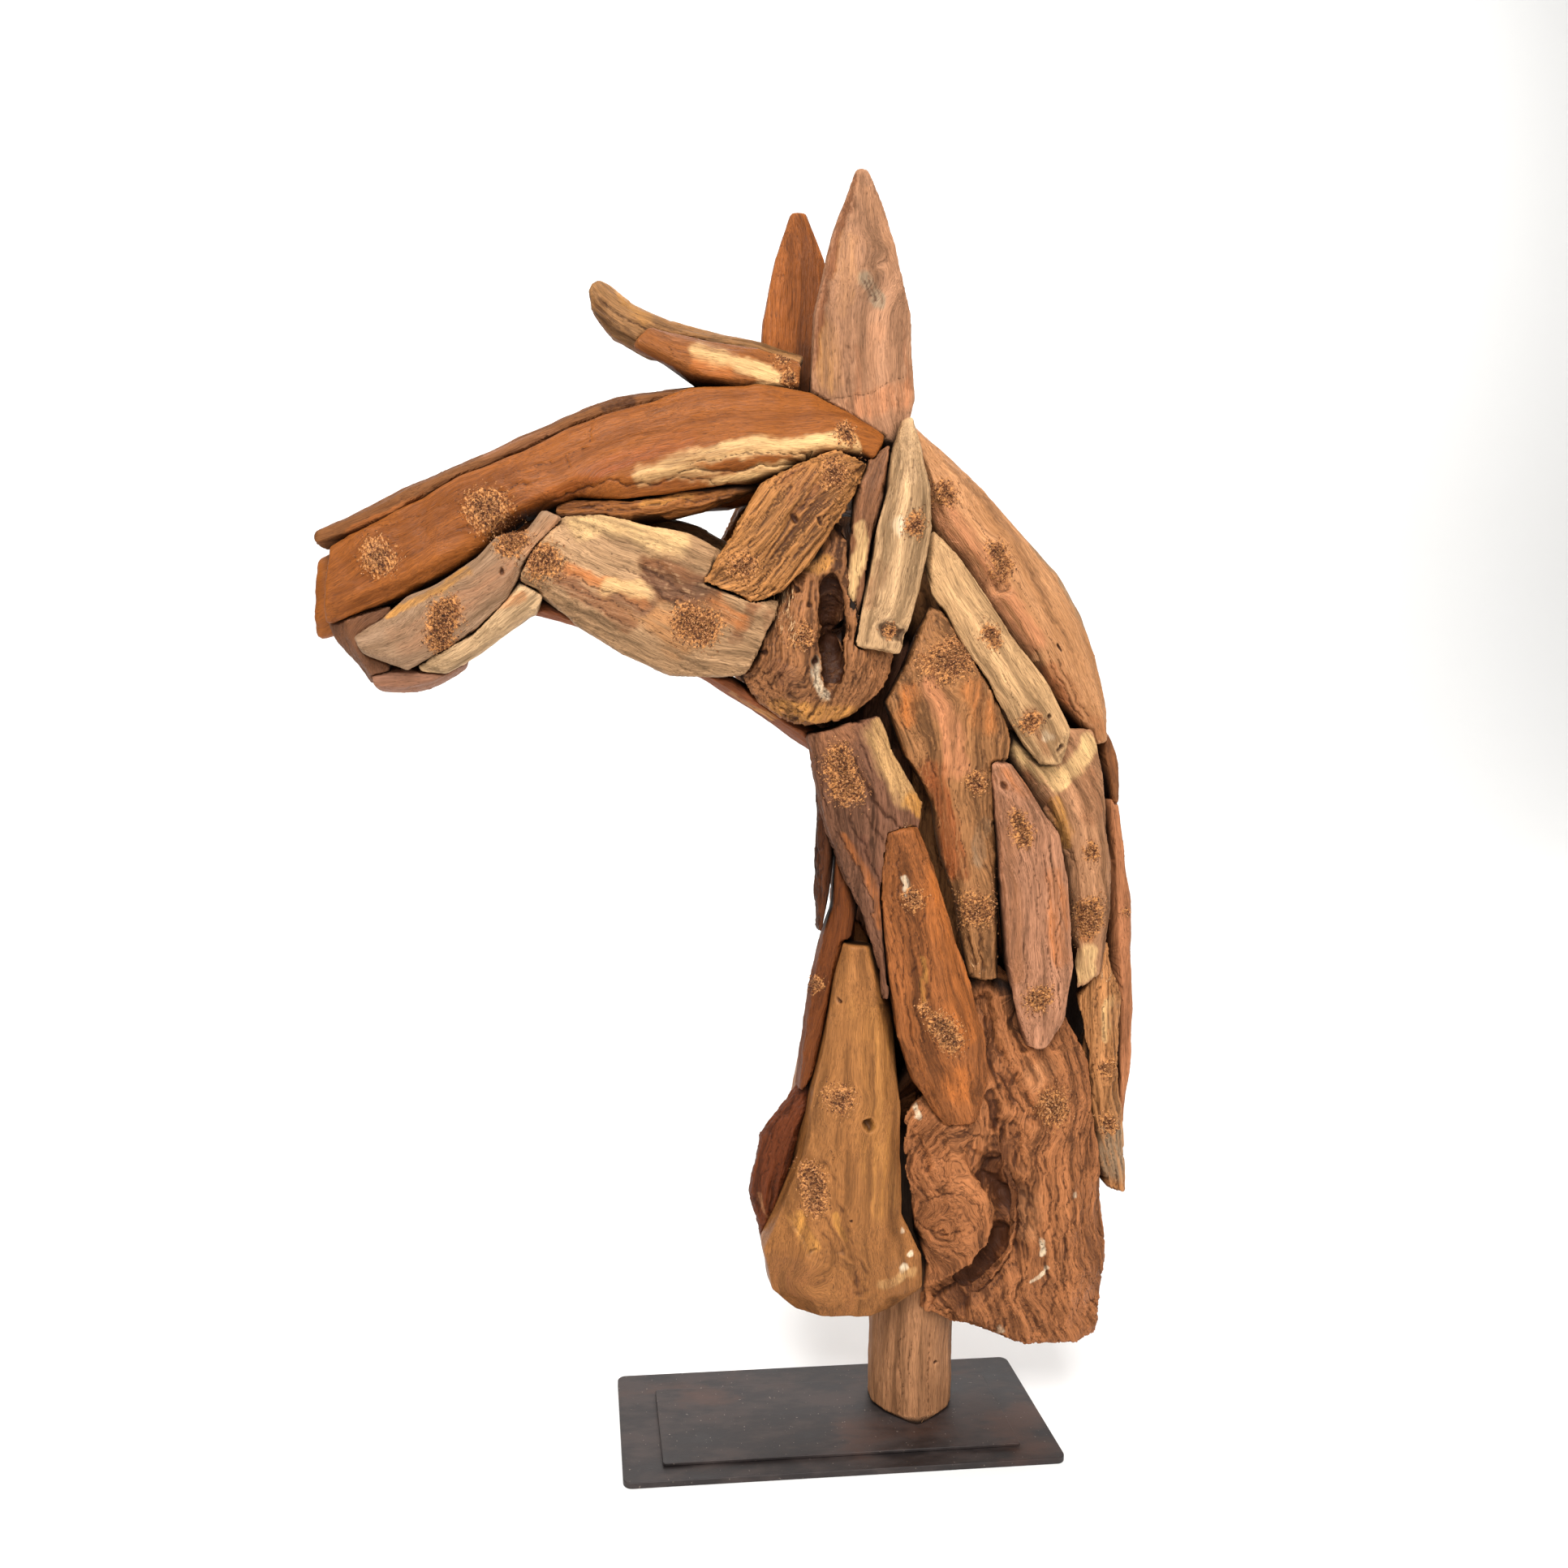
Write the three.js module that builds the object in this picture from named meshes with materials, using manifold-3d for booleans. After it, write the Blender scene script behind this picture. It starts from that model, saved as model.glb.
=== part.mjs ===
// A horse's head and neck put together from split pieces of old teak, on an iron base.
// Millimetres, +Z up. The muzzle points to -X, and the near side of the head faces -Y.
// The origin is the centre of the base plate's underside.
import * as THREE from "three";
import Module from "manifold-3d";
import { mergeVertices } from "three/addons/utils/BufferGeometryUtils.js";

const plateLength = 344;
const plateDepth = 146;
const plateThick = 5;
const plateCorner = 7;

const topPlateLength = 282;
const topPlateDepth = 100;
const topPlateThick = 2.7;
const topPlateCorner = 2;
const topPlateY = -6;

const postX = 69;
const postY = 14;
const postRadius = 34;
const postTop = 236;
const postSides = 14;

const middle = 6;          // the y of the plane between the near side and the far side
const seatGap = 0.3;       // clearance left where one piece is cut to sit against another
const sectionSides = 8;    // corners round a piece's section
const fewStations = 4;     // a near piece with no more stations than this gets rings between them

const near = -1;
const far = 1;

const finishes = {
  orange: { color: 0xb66f38, roughness: 0.62 },
  golden: { color: 0xc88f50, roughness: 0.58 },
  red: { color: 0xa4603c, roughness: 0.7 },
  pink: { color: 0xb5785a, roughness: 0.75 },
  brown: { color: 0x7c4c30, roughness: 0.75 },
  grey: { color: 0x94775c, roughness: 0.85 },
  pale: { color: 0xd2aa74, roughness: 0.72 },
  iron: { color: 0x302b2a, roughness: 0.6, metalness: 0.75 },
};

// How a piece of wood is given:
//   edges    one row for each station along its run: the x and z of one edge, then of the other
//   face     how far its outer face stands out from the middle plane, spread along the run
//   thick    how thick it is behind that face, spread along the run
//   square   2 gives a round section, 5 a board with broken corners
//   ridge    how much the outer face falls away on both sides of its crest, and crest says where
//   hollows  pieces of air, given in the same way, that are cut out of it
// Each piece is cut to sit against the ones above it in the list.
const wood = {
  // Pale stick that stands upright in front of the mane, from the poll to the jowl.
  cheek_stick: {
    finish: "pale",
    edges: [
      [32, 794, 38, 795], [23, 769, 46, 769], [20, 745, 51, 746], [12, 717, 53, 716],
      [6, 671, 46, 672], [-2, 632, 32, 626],
    ],
    face: [58, 70, 70, 64],
    thick: [14, 28, 30, 22],
    square: 3,
  },
  // Wide golden plank that runs down over the cheek from the eye.
  cheek_plank: {
    finish: "golden",
    edges: [
      [-18, 771, 7, 762], [-47, 761, -3, 741], [-74, 746, -21, 710], [-90, 717, -34, 691],
      [-105, 692, -54, 671], [-114, 676, -75, 662],
    ],
    face: [62, 72, 72, 66],
    thick: [22, 30, 28, 20],
    square: 4,
    ridge: 0.25,
    crest: -0.2,
  },
  // Long curved plank from the muzzle, over the eye, to the poll.
  brow_plank: {
    finish: "orange",
    edges: [
      [-380, 701, -383, 644], [-360, 712, -368, 648], [-325, 731, -324, 664], [-286, 752, -276, 691],
      [-244, 769, -233, 723], [-209, 786, -207, 736], [-169, 801, -166, 734], [-123, 816, -115, 743],
      [-76, 820, -69, 748], [-35, 815, -27, 764], [-5, 799, 1, 767], [21, 783, 10, 762],
    ],
    face: [42, 48, 52, 58, 56],
    thick: [34, 36, 36, 34, 26],
    square: 3,
    ridge: 0.3,
    crest: 0.3,
  },
  // Pale block that makes the near cheek, cut off square at both ends.
  cheek_block: {
    finish: "pale",
    edges: [
      [-227, 712, -246, 676], [-213, 722, -230, 667], [-186, 726, -203, 643], [-152, 718, -168, 621],
      [-123, 712, -136, 607], [-90, 696, -102, 606], [-56, 664, -82, 609],
    ],
    face: [58, 64, 66, 62],
    thick: [40, 50, 50, 40],
    square: 3.6,
    ridge: 0.2,
    crest: -0.1,
  },
  // Grey curl of wood that makes the upper lip.
  lip_piece: {
    finish: "grey",
    edges: [
      [-228, 725, -214, 720], [-240, 710, -228, 701], [-259, 708, -243, 681], [-276, 692, -254, 661],
      [-302, 675, -272, 643], [-325, 664, -298, 627], [-343, 648, -325, 612], [-362, 636, -356, 624],
    ],
    face: [62, 60, 56, 50],
    thick: [20, 32, 34, 24],
    square: 3,
    ridge: 0.3,
    crest: -0.3,
  },
  // Tapering block at the front of the neck, with a ridge down its face and a full, rounded foot.
  front_block: {
    finish: "golden",
    edges: [
      [-3, 405, 20, 404], [-9, 380, 30, 375], [-17, 334, 38, 332], [-28, 284, 45, 281],
      [-36, 240, 46, 237], [-53, 196, 48, 192], [-66, 169, 65, 160], [-59, 136, 66, 132],
      [-38, 119, 39, 114],
    ],
    face: [48, 58, 66, 72, 62],
    thick: [26, 46, 60, 66, 52],
    square: 2.6,
    ridge: 0.4,
    crest: -0.05,
  },
  // Red plank down the middle of the neck.
  neck_red_plank: {
    finish: "red",
    edges: [
      [21, 493, 50, 496], [21, 460, 63, 466], [24, 424, 76, 423], [28, 381, 93, 379],
      [35, 337, 105, 335], [49, 300, 110, 302], [76, 265, 100, 269],
    ],
    face: [58, 68, 68, 60],
    thick: [26, 34, 34, 24],
    square: 3.2,
    ridge: 0.3,
    crest: 0.3,
  },
  // Thin blade behind the cheek plank.
  temple_blade: {
    finish: "brown",
    edges: [
      [8, 770, 26, 777], [-4, 746, 26, 747], [-6, 711, 19, 712], [-9, 670, 12, 667],
      [-10, 631, 3, 626],
    ],
    face: [54, 58, 58, 54],
    thick: [12, 16, 16, 12],
    square: 3,
  },
  // Pinkish board at the back of the neck.
  neck_pink_board: {
    finish: "pink",
    edges: [
      [104, 544, 121, 545], [108, 518, 137, 521], [111, 490, 159, 490], [114, 453, 167, 452],
      [120, 397, 173, 396], [131, 349, 169, 348], [142, 325, 155, 325],
    ],
    face: [56, 62, 62, 56],
    thick: [18, 24, 24, 18],
    square: 4,
  },
  // Pale strip that slants down the neck under the mane and ends in the notch of the forked branch.
  neck_pale_strip: {
    finish: "pale",
    edges: [
      [58, 718, 54, 678], [80, 696, 56, 670], [97, 672, 68, 657], [113, 649, 82, 632],
      [132, 625, 100, 606], [149, 601, 117, 577], [166, 570, 128, 559], [159, 544, 142, 544],
    ],
    face: [50, 56, 58, 60],
    thick: [20, 24, 24, 20],
    square: 3.4,
    ridge: 0.2,
    crest: -0.2,
  },
  // Grey-brown branch of the throat, which tapers down beside the red plank.
  throat_branch: {
    finish: "grey",
    edges: [
      [-32, 565, 24, 580], [-29, 541, 37, 548], [-24, 514, 57, 514], [-15, 484, 53, 486],
      [-2, 456, 46, 459], [10, 428, 41, 428], [21, 397, 38, 396], [27, 364, 36, 363],
    ],
    face: [50, 58, 58, 52],
    thick: [34, 40, 32, 16],
    square: 2.8,
    ridge: 0.3,
    crest: 0.2,
  },
  // Broad piece below the jowl that narrows to a square-cut stem.
  neck_wide_piece: {
    finish: "red",
    edges: [
      [56, 659, 69, 660], [45, 629, 95, 634], [25, 590, 119, 601], [37, 556, 124, 557],
      [61, 517, 116, 523], [72, 470, 115, 473], [83, 433, 117, 432], [94, 378, 118, 378],
    ],
    face: [46, 54, 54, 50],
    thick: [20, 30, 30, 22],
    square: 3.4,
    ridge: 0.2,
    crest: 0.2,
  },
  // Branch at the back of the neck with a notched, pale top.
  neck_back_branch: {
    finish: "grey",
    edges: [
      [101, 569, 193, 569], [123, 545, 199, 540], [152, 503, 203, 499], [170, 468, 206, 468],
      [177, 430, 209, 429], [183, 366, 204, 380],
    ],
    face: [44, 48, 48, 42],
    thick: [34, 38, 34, 24],
    square: 2.8,
  },
  // Rounded, gnarled root that makes the near jowl, split by a deep hollow.
  jowl: {
    finish: "golden",
    edges: [
      [-33, 724, 12, 734], [-59, 682, 23, 695], [-82, 646, 30, 653], [-86, 611, 35, 627],
      [-72, 591, 26, 601], [-44, 572, 1, 578],
    ],
    face: [50, 60, 62, 50],
    thick: [40, 64, 68, 44],
    square: 2.5,
    hollows: [
      {
        edges: [
          [-23, 684, -14, 685], [-29, 652, -11, 654], [-26, 617, -9, 617], [-22, 591, -15, 592],
        ],
        face: [70, 74, 70],
        thick: [16, 44, 16],
        square: 2,
      },
    ],
  },
  // Long outer plank of the mane, from the poll round to the back of the neck.
  mane_plank: {
    finish: "orange",
    edges: [
      [47, 796, 53, 774], [73, 776, 60, 743], [102, 750, 67, 712], [131, 719, 89, 692],
      [161, 689, 108, 661], [181, 657, 131, 628], [195, 625, 155, 597], [204, 587, 177, 572],
      [207, 560, 194, 556],
    ],
    face: [30, 42, 44, 34],
    thick: [30, 46, 46, 34],
    square: 2.8,
    ridge: 0.35,
    crest: 0.1,
  },
  // Wooden post that carries the head.
  post: { finish: "golden", build: postGeometry },
  // Gnarled root at the foot of the neck, with a deep fold where it grew round a branch.
  root_block: {
    finish: "red",
    edges: [
      [96, 381, 137, 373], [95, 339, 182, 341], [73, 302, 199, 305], [42, 268, 206, 259],
      [42, 232, 211, 219], [50, 193, 216, 179], [64, 146, 217, 139], [64, 106, 216, 106],
      [127, 84, 211, 82],
    ],
    face: [36, 52, 58, 60, 52],
    thick: [30, 70, 84, 84, 70],
    square: 3,
    hollows: [
      {
        edges: [
          [89, 258, 123, 253], [96, 230, 122, 229], [113, 203, 129, 204], [114, 170, 128, 166],
          [93, 150, 106, 139], [66, 126, 76, 118],
        ],
        face: [66, 70, 70, 66],
        thick: [16, 24, 26, 14],
        square: 2,
      },
    ],
  },
  // Olive-brown strip under the brow.
  brow_strip: {
    finish: "brown",
    edges: [
      [-223, 732, -215, 714], [-203, 739, -196, 714], [-182, 744, -168, 717], [-152, 747, -140, 721],
      [-116, 749, -112, 727], [-91, 750, -85, 738], [-70, 753, -69, 745],
    ],
    face: [40, 42, 42, 40],
    thick: [22, 28, 28, 22],
    square: 2.6,
  },
  // Pale piece between the upper lip and the cheek.
  chin_piece: {
    finish: "pale",
    edges: [
      [-226, 670, -234, 652], [-245, 678, -237, 651], [-261, 660, -257, 636], [-280, 640, -275, 623],
      [-301, 630, -298, 609], [-321, 622, -316, 610],
    ],
    face: [50, 50, 46, 40],
    thick: [30, 36, 36, 30],
    square: 2.8,
  },
  // Near ear, a leaf-shaped slab.
  near_ear: {
    finish: "pink",
    edges: [
      [-8, 770, 37, 778], [-35, 815, 45, 813], [-32, 871, 40, 873], [-21, 917, 28, 922],
      [-11, 947, 18, 951], [-1, 973, 7, 973],
    ],
    face: [46, 48, 42, 36],
    thick: [26, 26, 22, 12],
    square: 3.4,
    ridge: 0.15,
    crest: -0.4,
  },
  // Lower of the two sticks of the forelock.
  forelock_lower: {
    finish: "orange",
    edges: [
      [-150, 859, -161, 846], [-130, 856, -139, 835], [-104, 851, -111, 819], [-71, 847, -74, 814],
      [-40, 838, -41, 815],
    ],
    face: [36, 40, 40],
    thick: [20, 32, 34],
    square: 3.4,
    ridge: 0.3,
    crest: 0.2,
  },
  // Upper stick of the forelock, which curves out to a point over the nose.
  forelock_upper: {
    finish: "orange",
    edges: [
      [-188, 895, -194, 887], [-178, 891, -191, 874], [-161, 880, -177, 855], [-134, 869, -150, 841],
      [-102, 861, -109, 839], [-65, 855, -72, 834], [-35, 846, -41, 827],
    ],
    face: [20, 22, 22],
    thick: [12, 28, 32, 32],
    square: 2.4,
  },
  // Strip along the top of the nose, up to the forelock.
  nose_strip: {
    finish: "grey",
    edges: [
      [-390, 712, -391, 701], [-362, 726, -360, 706], [-327, 744, -320, 724], [-289, 761, -283, 740],
      [-245, 781, -240, 758], [-210, 798, -206, 774], [-174, 812, -171, 788], [-111, 823, -113, 801],
    ],
    face: [28, 32, 34, 32],
    thick: [56, 64, 68, 64],
    square: 3.4,
  },
  // Plank under the jaw, from the chin to the throat.
  jaw_strip: {
    finish: "red",
    edges: [
      [-231, 668, -236, 654], [-183, 652, -188, 640], [-144, 635, -148, 621], [-107, 620, -110, 607],
      [-60, 593, -62, 578], [-4, 560, -16, 545],
    ],
    face: [28, 34, 34, 28],
    thick: [46, 60, 60, 48],
    square: 3,
  },
  // Lower lip, between the near side and the far side.
  lower_lip: {
    finish: "red",
    edges: [
      [-353, 611, -350, 597], [-330, 619, -327, 594], [-305, 621, -305, 602], [-286, 623, -288, 613],
    ],
    face: [32, 36, 36],
    thick: [64, 72, 72],
    square: 2.6,
  },
  // Dark front of the muzzle.
  muzzle_front: {
    finish: "brown",
    edges: [
      [-388, 652, -312, 676], [-380, 633, -325, 648], [-365, 616, -330, 628], [-355, 602, -335, 611],
    ],
    face: [34, 34, 32],
    thick: [68, 68, 64],
    square: 3,
  },
  // Far ear, behind the forelock.
  far_ear: {
    finish: "orange",
    side: far,
    edges: [
      [-66, 806, 0, 798], [-62, 877, -3, 879], [-53, 923, -15, 924], [-41, 957, -29, 957],
    ],
    face: [30, 28, 24],
    thick: [22, 20, 12],
    square: 3,
    ridge: 0.15,
    crest: 0,
  },
  // Plank at the front of the neck, above the front block.
  front_strip: {
    finish: "brown",
    edges: [
      [-8, 477, -2, 477], [-9, 435, 11, 435], [-18, 404, 10, 397], [-26, 365, 3, 362],
      [-30, 327, -8, 323], [-34, 288, -27, 292],
    ],
    face: [32, 36, 34],
    thick: [22, 28, 24],
    square: 3,
  },
  // Thin stick in front of the throat branch.
  throat_stick: {
    finish: "brown",
    edges: [
      [-24, 564, -12, 564], [-20, 505, -6, 505], [-21, 471, -7, 468], [-21, 436, -10, 443],
      [-20, 413, -17, 413],
    ],
    face: [30, 32, 30],
    thick: [24, 26, 14],
    square: 2.2,
  },
  // Dark slab that shows in front of the front block.
  front_slab: {
    finish: "brown",
    edges: [
      [-26, 297, -13, 289], [-41, 278, -18, 263], [-63, 249, -22, 239], [-72, 204, -30, 200],
      [-62, 174, -43, 175], [-57, 151, -52, 154],
    ],
    face: [26, 30, 26],
    thick: [16, 22, 16],
    square: 2.8,
  },
  // Yellow and grey splinter down the back of the neck.
  back_splinter: {
    finish: "golden",
    edges: [
      [187, 358, 210, 401], [191, 336, 225, 356], [195, 297, 223, 303], [201, 257, 228, 263],
      [208, 219, 233, 222], [218, 200, 234, 196],
    ],
    face: [34, 36, 34],
    thick: [18, 24, 18],
    square: 2.8,
  },
  // Short strip on the back of the neck, below the mane.
  back_strip_upper: {
    finish: "orange",
    edges: [
      [200, 557, 212, 565], [207, 534, 221, 541], [215, 507, 222, 511],
    ],
    face: [22, 20],
    thick: [44, 36],
    square: 2.6,
  },
  // Long strip on the back of the neck.
  back_strip_lower: {
    finish: "red",
    edges: [
      [211, 513, 221, 513], [215, 470, 229, 470], [217, 430, 236, 430], [220, 391, 236, 391],
      [223, 344, 240, 344], [225, 304, 241, 303], [227, 269, 236, 273], [231, 249, 235, 249],
    ],
    face: [20, 24, 20],
    thick: [34, 42, 34],
    square: 2.6,
  },
};

// The far side repeats the near side's larger pieces, moved a little, and is plainer.
const farSide = {
  far_brow_plank: { like: "brow_plank", shift: [-14, -8] },
  far_cheek_block: { like: "cheek_block", shift: [12, 12] },
  far_lip_piece: { like: "lip_piece", shift: [2, -3] },
  far_cheek_plank: { like: "cheek_plank", shift: [6, 4] },
  far_cheek_stick: { like: "cheek_stick", shift: [-3, 10] },
  far_red_plank: { like: "neck_red_plank", shift: [4, -6] },
  far_jowl: { like: "jowl", shift: [4, 2], plain: true },
  far_mane_plank: { like: "mane_plank", shift: [-5, -4] },
  far_front_block: { like: "front_block", shift: [6, 4] },
  far_root_block: { like: "root_block", shift: [-6, 4], plain: true },
};

// Three broad boards close the far side of the neck.
const farBoards = {
  far_throat_board: {
    finish: "brown",
    side: far,
    edges: [[-20, 592, 66, 640], [-6, 520, 68, 520], [6, 430, 78, 430], [8, 350, 88, 340],
      [24, 290, 88, 284]],
    face: [50, 58, 54],
    thick: [28, 36, 28],
    square: 3.4,
  },
  far_neck_board: {
    finish: "red",
    side: far,
    edges: [[8, 790, 76, 774], [50, 640, 128, 640], [58, 540, 140, 540], [64, 430, 146, 430],
      [76, 310, 140, 310]],
    face: [44, 54, 58, 56],
    thick: [28, 34, 36, 32],
    square: 3.6,
  },
  far_back_board: {
    finish: "orange",
    side: far,
    edges: [[118, 640, 170, 622], [132, 540, 218, 540], [138, 430, 226, 430], [138, 330, 230, 330],
      [144, 268, 227, 268], [152, 214, 200, 214]],
    face: [38, 48, 50, 44],
    thick: [34, 40, 38, 30],
    square: 3,
  },
};

// The value at the share t of a run, where the listed values are spread evenly along it.
function spread(values, t) {
  if (values.length === 1) return values[0];
  const place = t * (values.length - 1);
  const index = Math.min(Math.floor(place), values.length - 2);
  return THREE.MathUtils.lerp(values[index], values[index + 1], place - index);
}

// A unit section: corners round a superellipse, with the outer face falling away from its crest.
function section(piece) {
  const corners = [];
  for (let i = 0; i < sectionSides; i++) {
    const angle = ((i + 0.5) / sectionSides) * Math.PI * 2;
    const across = Math.sign(Math.cos(angle)) * Math.abs(Math.cos(angle)) ** (2 / piece.square);
    let out = Math.sign(Math.sin(angle)) * Math.abs(Math.sin(angle)) ** (2 / piece.square);
    if (piece.ridge && out > 0) out *= 1 - piece.ridge * Math.abs(across - piece.crest);
    corners.push([across, out]);
  }
  return corners;
}

// The curve through one edge of a piece; first is 0 for the one edge and 2 for the other.
function edgeCurve(piece, first) {
  return new THREE.CatmullRomCurve3(
    piece.edges.map((row) => new THREE.Vector3(row[first], 0, row[first + 1])),
  );
}

// A closed mesh through a piece's stations. grow makes it larger all round.
function pieceGeometry(piece, grow = 0) {
  const side = piece.side ?? near;
  const firstEdge = edgeCurve(piece, 0);
  const secondEdge = edgeCurve(piece, 2);
  const corners = section(piece);
  const ringsPerSpan = piece.edges.length > fewStations || side === far ? 1 : 2;
  const spans = (piece.edges.length - 1) * ringsPerSpan;
  const points = [];
  const middles = [];
  for (let ring = 0; ring <= spans; ring++) {
    const t = ring / spans;
    const a = firstEdge.getPoint(t);
    const b = secondEdge.getPoint(t);
    const half = b.clone().sub(a).multiplyScalar(0.5);
    half.setLength(half.length() + grow);
    const halfThick = spread(piece.thick, t) / 2;
    const centre = a.clone().add(b).multiplyScalar(0.5);
    centre.y = middle + side * (spread(piece.face, t) - halfThick);
    const run = firstEdge.getTangent(t).add(secondEdge.getTangent(t)).normalize();
    if (ring === 0) centre.addScaledVector(run, -grow);
    if (ring === spans) centre.addScaledVector(run, grow);
    middles.push(centre);
    for (const [across, out] of corners) {
      const corner = centre.clone().addScaledVector(half, across);
      corner.y += side * out * (halfThick + grow);
      points.push(corner);
    }
  }
  return closedMesh(points, middles[0], middles[spans], facesOut(piece, side));
}

// Whether the rings of a piece turn the right way round for its faces to point out.
function facesOut(piece, side) {
  const [startX, startZ, otherX, otherZ] = piece.edges[0];
  const [endX, endZ] = piece.edges[piece.edges.length - 1];
  const acrossX = otherX - startX;
  const acrossZ = otherZ - startZ;
  return (acrossX * (endZ - startZ) - acrossZ * (endX - startX)) * side > 0;
}

// Joins rings of points into a tube and closes its ends on the two end points.
function closedMesh(points, start, end, facingOut) {
  const rings = points.length / sectionSides;
  const all = [...points, start, end];
  const startIndex = points.length;
  const endIndex = points.length + 1;
  const last = (rings - 1) * sectionSides;
  const faces = [];
  for (let i = 0; i < sectionSides; i++) {
    const next = (i + 1) % sectionSides;
    for (let ring = 0; ring < rings - 1; ring++) {
      const low = ring * sectionSides;
      const high = low + sectionSides;
      faces.push([low + i, low + next, high + next], [low + i, high + next, high + i]);
    }
    faces.push([startIndex, next, i], [endIndex, last + i, last + next]);
  }
  const geometry = new THREE.BufferGeometry();
  geometry.setAttribute(
    "position",
    new THREE.Float32BufferAttribute(all.flatMap((p) => p.toArray()), 3),
  );
  geometry.setIndex(faces.flatMap((face) => (facingOut ? face : [...face].reverse())));
  return geometry;
}

// The round post, a little wider at its foot.
function postGeometry(piece, grow = 0) {
  const foot = plateThick + seatGap + topPlateThick + seatGap;
  const height = postTop - foot;
  const geometry = new THREE.CylinderGeometry(
    postRadius * 0.97 + grow, postRadius + grow, height + 2 * grow, postSides,
  );
  geometry.rotateX(Math.PI / 2);
  geometry.translate(postX, postY, foot + height / 2);
  return geometry;
}

// A flat plate with rounded corners, lying on the height z.
function plateGeometry(length, depth, thick, corner, y, z) {
  const x = length / 2 - corner;
  const d = depth / 2 - corner;
  const outline = new THREE.Shape();
  outline.absarc(x, d, corner, 0, Math.PI / 2);
  outline.absarc(-x, d, corner, Math.PI / 2, Math.PI);
  outline.absarc(-x, -d, corner, Math.PI, Math.PI * 1.5);
  outline.absarc(x, -d, corner, Math.PI * 1.5, Math.PI * 2);
  outline.closePath();
  const options = { depth: thick, bevelEnabled: false, curveSegments: 5 };
  return new THREE.ExtrudeGeometry(outline, options).translate(0, y, z);
}

const wasm = await Module();
wasm.setup();

// A closed geometry as a solid that can be cut.
function solidOf(geometry) {
  const bare = geometry.clone();
  bare.deleteAttribute("normal");
  bare.deleteAttribute("uv");
  const merged = mergeVertices(bare, 1e-3);
  return new wasm.Manifold(new wasm.Mesh({
    numProp: 3,
    vertProperties: merged.attributes.position.array,
    triVerts: new Uint32Array(merged.index.array),
  }));
}

// The solid's faces as a flat-shaded geometry.
function geometryOf(solid) {
  const mesh = solid.getMesh();
  const geometry = new THREE.BufferGeometry();
  geometry.setAttribute("position", new THREE.BufferAttribute(mesh.vertProperties, 3));
  geometry.setIndex(new THREE.BufferAttribute(mesh.triVerts, 1));
  const flat = geometry.toNonIndexed();
  flat.computeVertexNormals();
  return flat;
}

function boxesMeet(a, b) {
  const boxA = a.boundingBox();
  const boxB = b.boundingBox();
  return [0, 1, 2].every((i) => boxA.min[i] < boxB.max[i] && boxB.min[i] < boxA.max[i]);
}

// The largest body of a solid; crumbs left by a cut are dropped.
function largestBody(solid) {
  return solid.decompose().sort((a, b) => b.volume() - a.volume())[0];
}

// A near piece's twin on the far side.
function farTwin({ like, shift, plain }) {
  const [dx, dz] = shift;
  const twin = { ...wood[like], side: far };
  twin.edges = twin.edges.map(([ax, az, bx, bz]) => [ax + dx, az + dz, bx + dx, bz + dz]);
  if (plain) delete twin.hollows;
  else twin.hollows = twin.hollows?.map((hollow) => ({ ...hollow, side: far }));
  return twin;
}

function meshOf(name, geometry, finishName) {
  const mesh = new THREE.Mesh(geometry, new THREE.MeshStandardMaterial(finishes[finishName]));
  mesh.name = name;
  return mesh;
}

// Seats every piece of wood against the ones before it.
function addWood(group) {
  const pieces = { ...wood };
  for (const name in farSide) pieces[name] = farTwin(farSide[name]);
  Object.assign(pieces, farBoards);
  const seated = [];
  for (const name in pieces) {
    const piece = pieces[name];
    const build = piece.build ?? pieceGeometry;
    let solid = solidOf(build(piece));
    for (const hollow of piece.hollows ?? []) solid = solid.subtract(solidOf(pieceGeometry(hollow)));
    for (const other of seated) if (boxesMeet(solid, other)) solid = solid.subtract(other);
    group.add(meshOf(name, geometryOf(largestBody(solid)), piece.finish));
    seated.push(solidOf(build(piece, seatGap)));
  }
}

function addBase(group) {
  const lower = plateGeometry(plateLength, plateDepth, plateThick, plateCorner, 0, 0);
  const upper = plateGeometry(
    topPlateLength, topPlateDepth, topPlateThick, topPlateCorner, topPlateY, plateThick + seatGap,
  );
  group.add(meshOf("base_plate", lower, "iron"));
  group.add(meshOf("top_plate", upper, "iron"));
}

const horse = new THREE.Group();
addBase(horse);
addWood(horse);

export default horse;
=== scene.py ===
# Driftwood horse head on its iron stand: looks, light and camera.
# Old teak pieces get their relief and grain here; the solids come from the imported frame.
import functools
import math

import bmesh
import bpy
import numpy as np
from mathutils import Matrix, Vector


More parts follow.
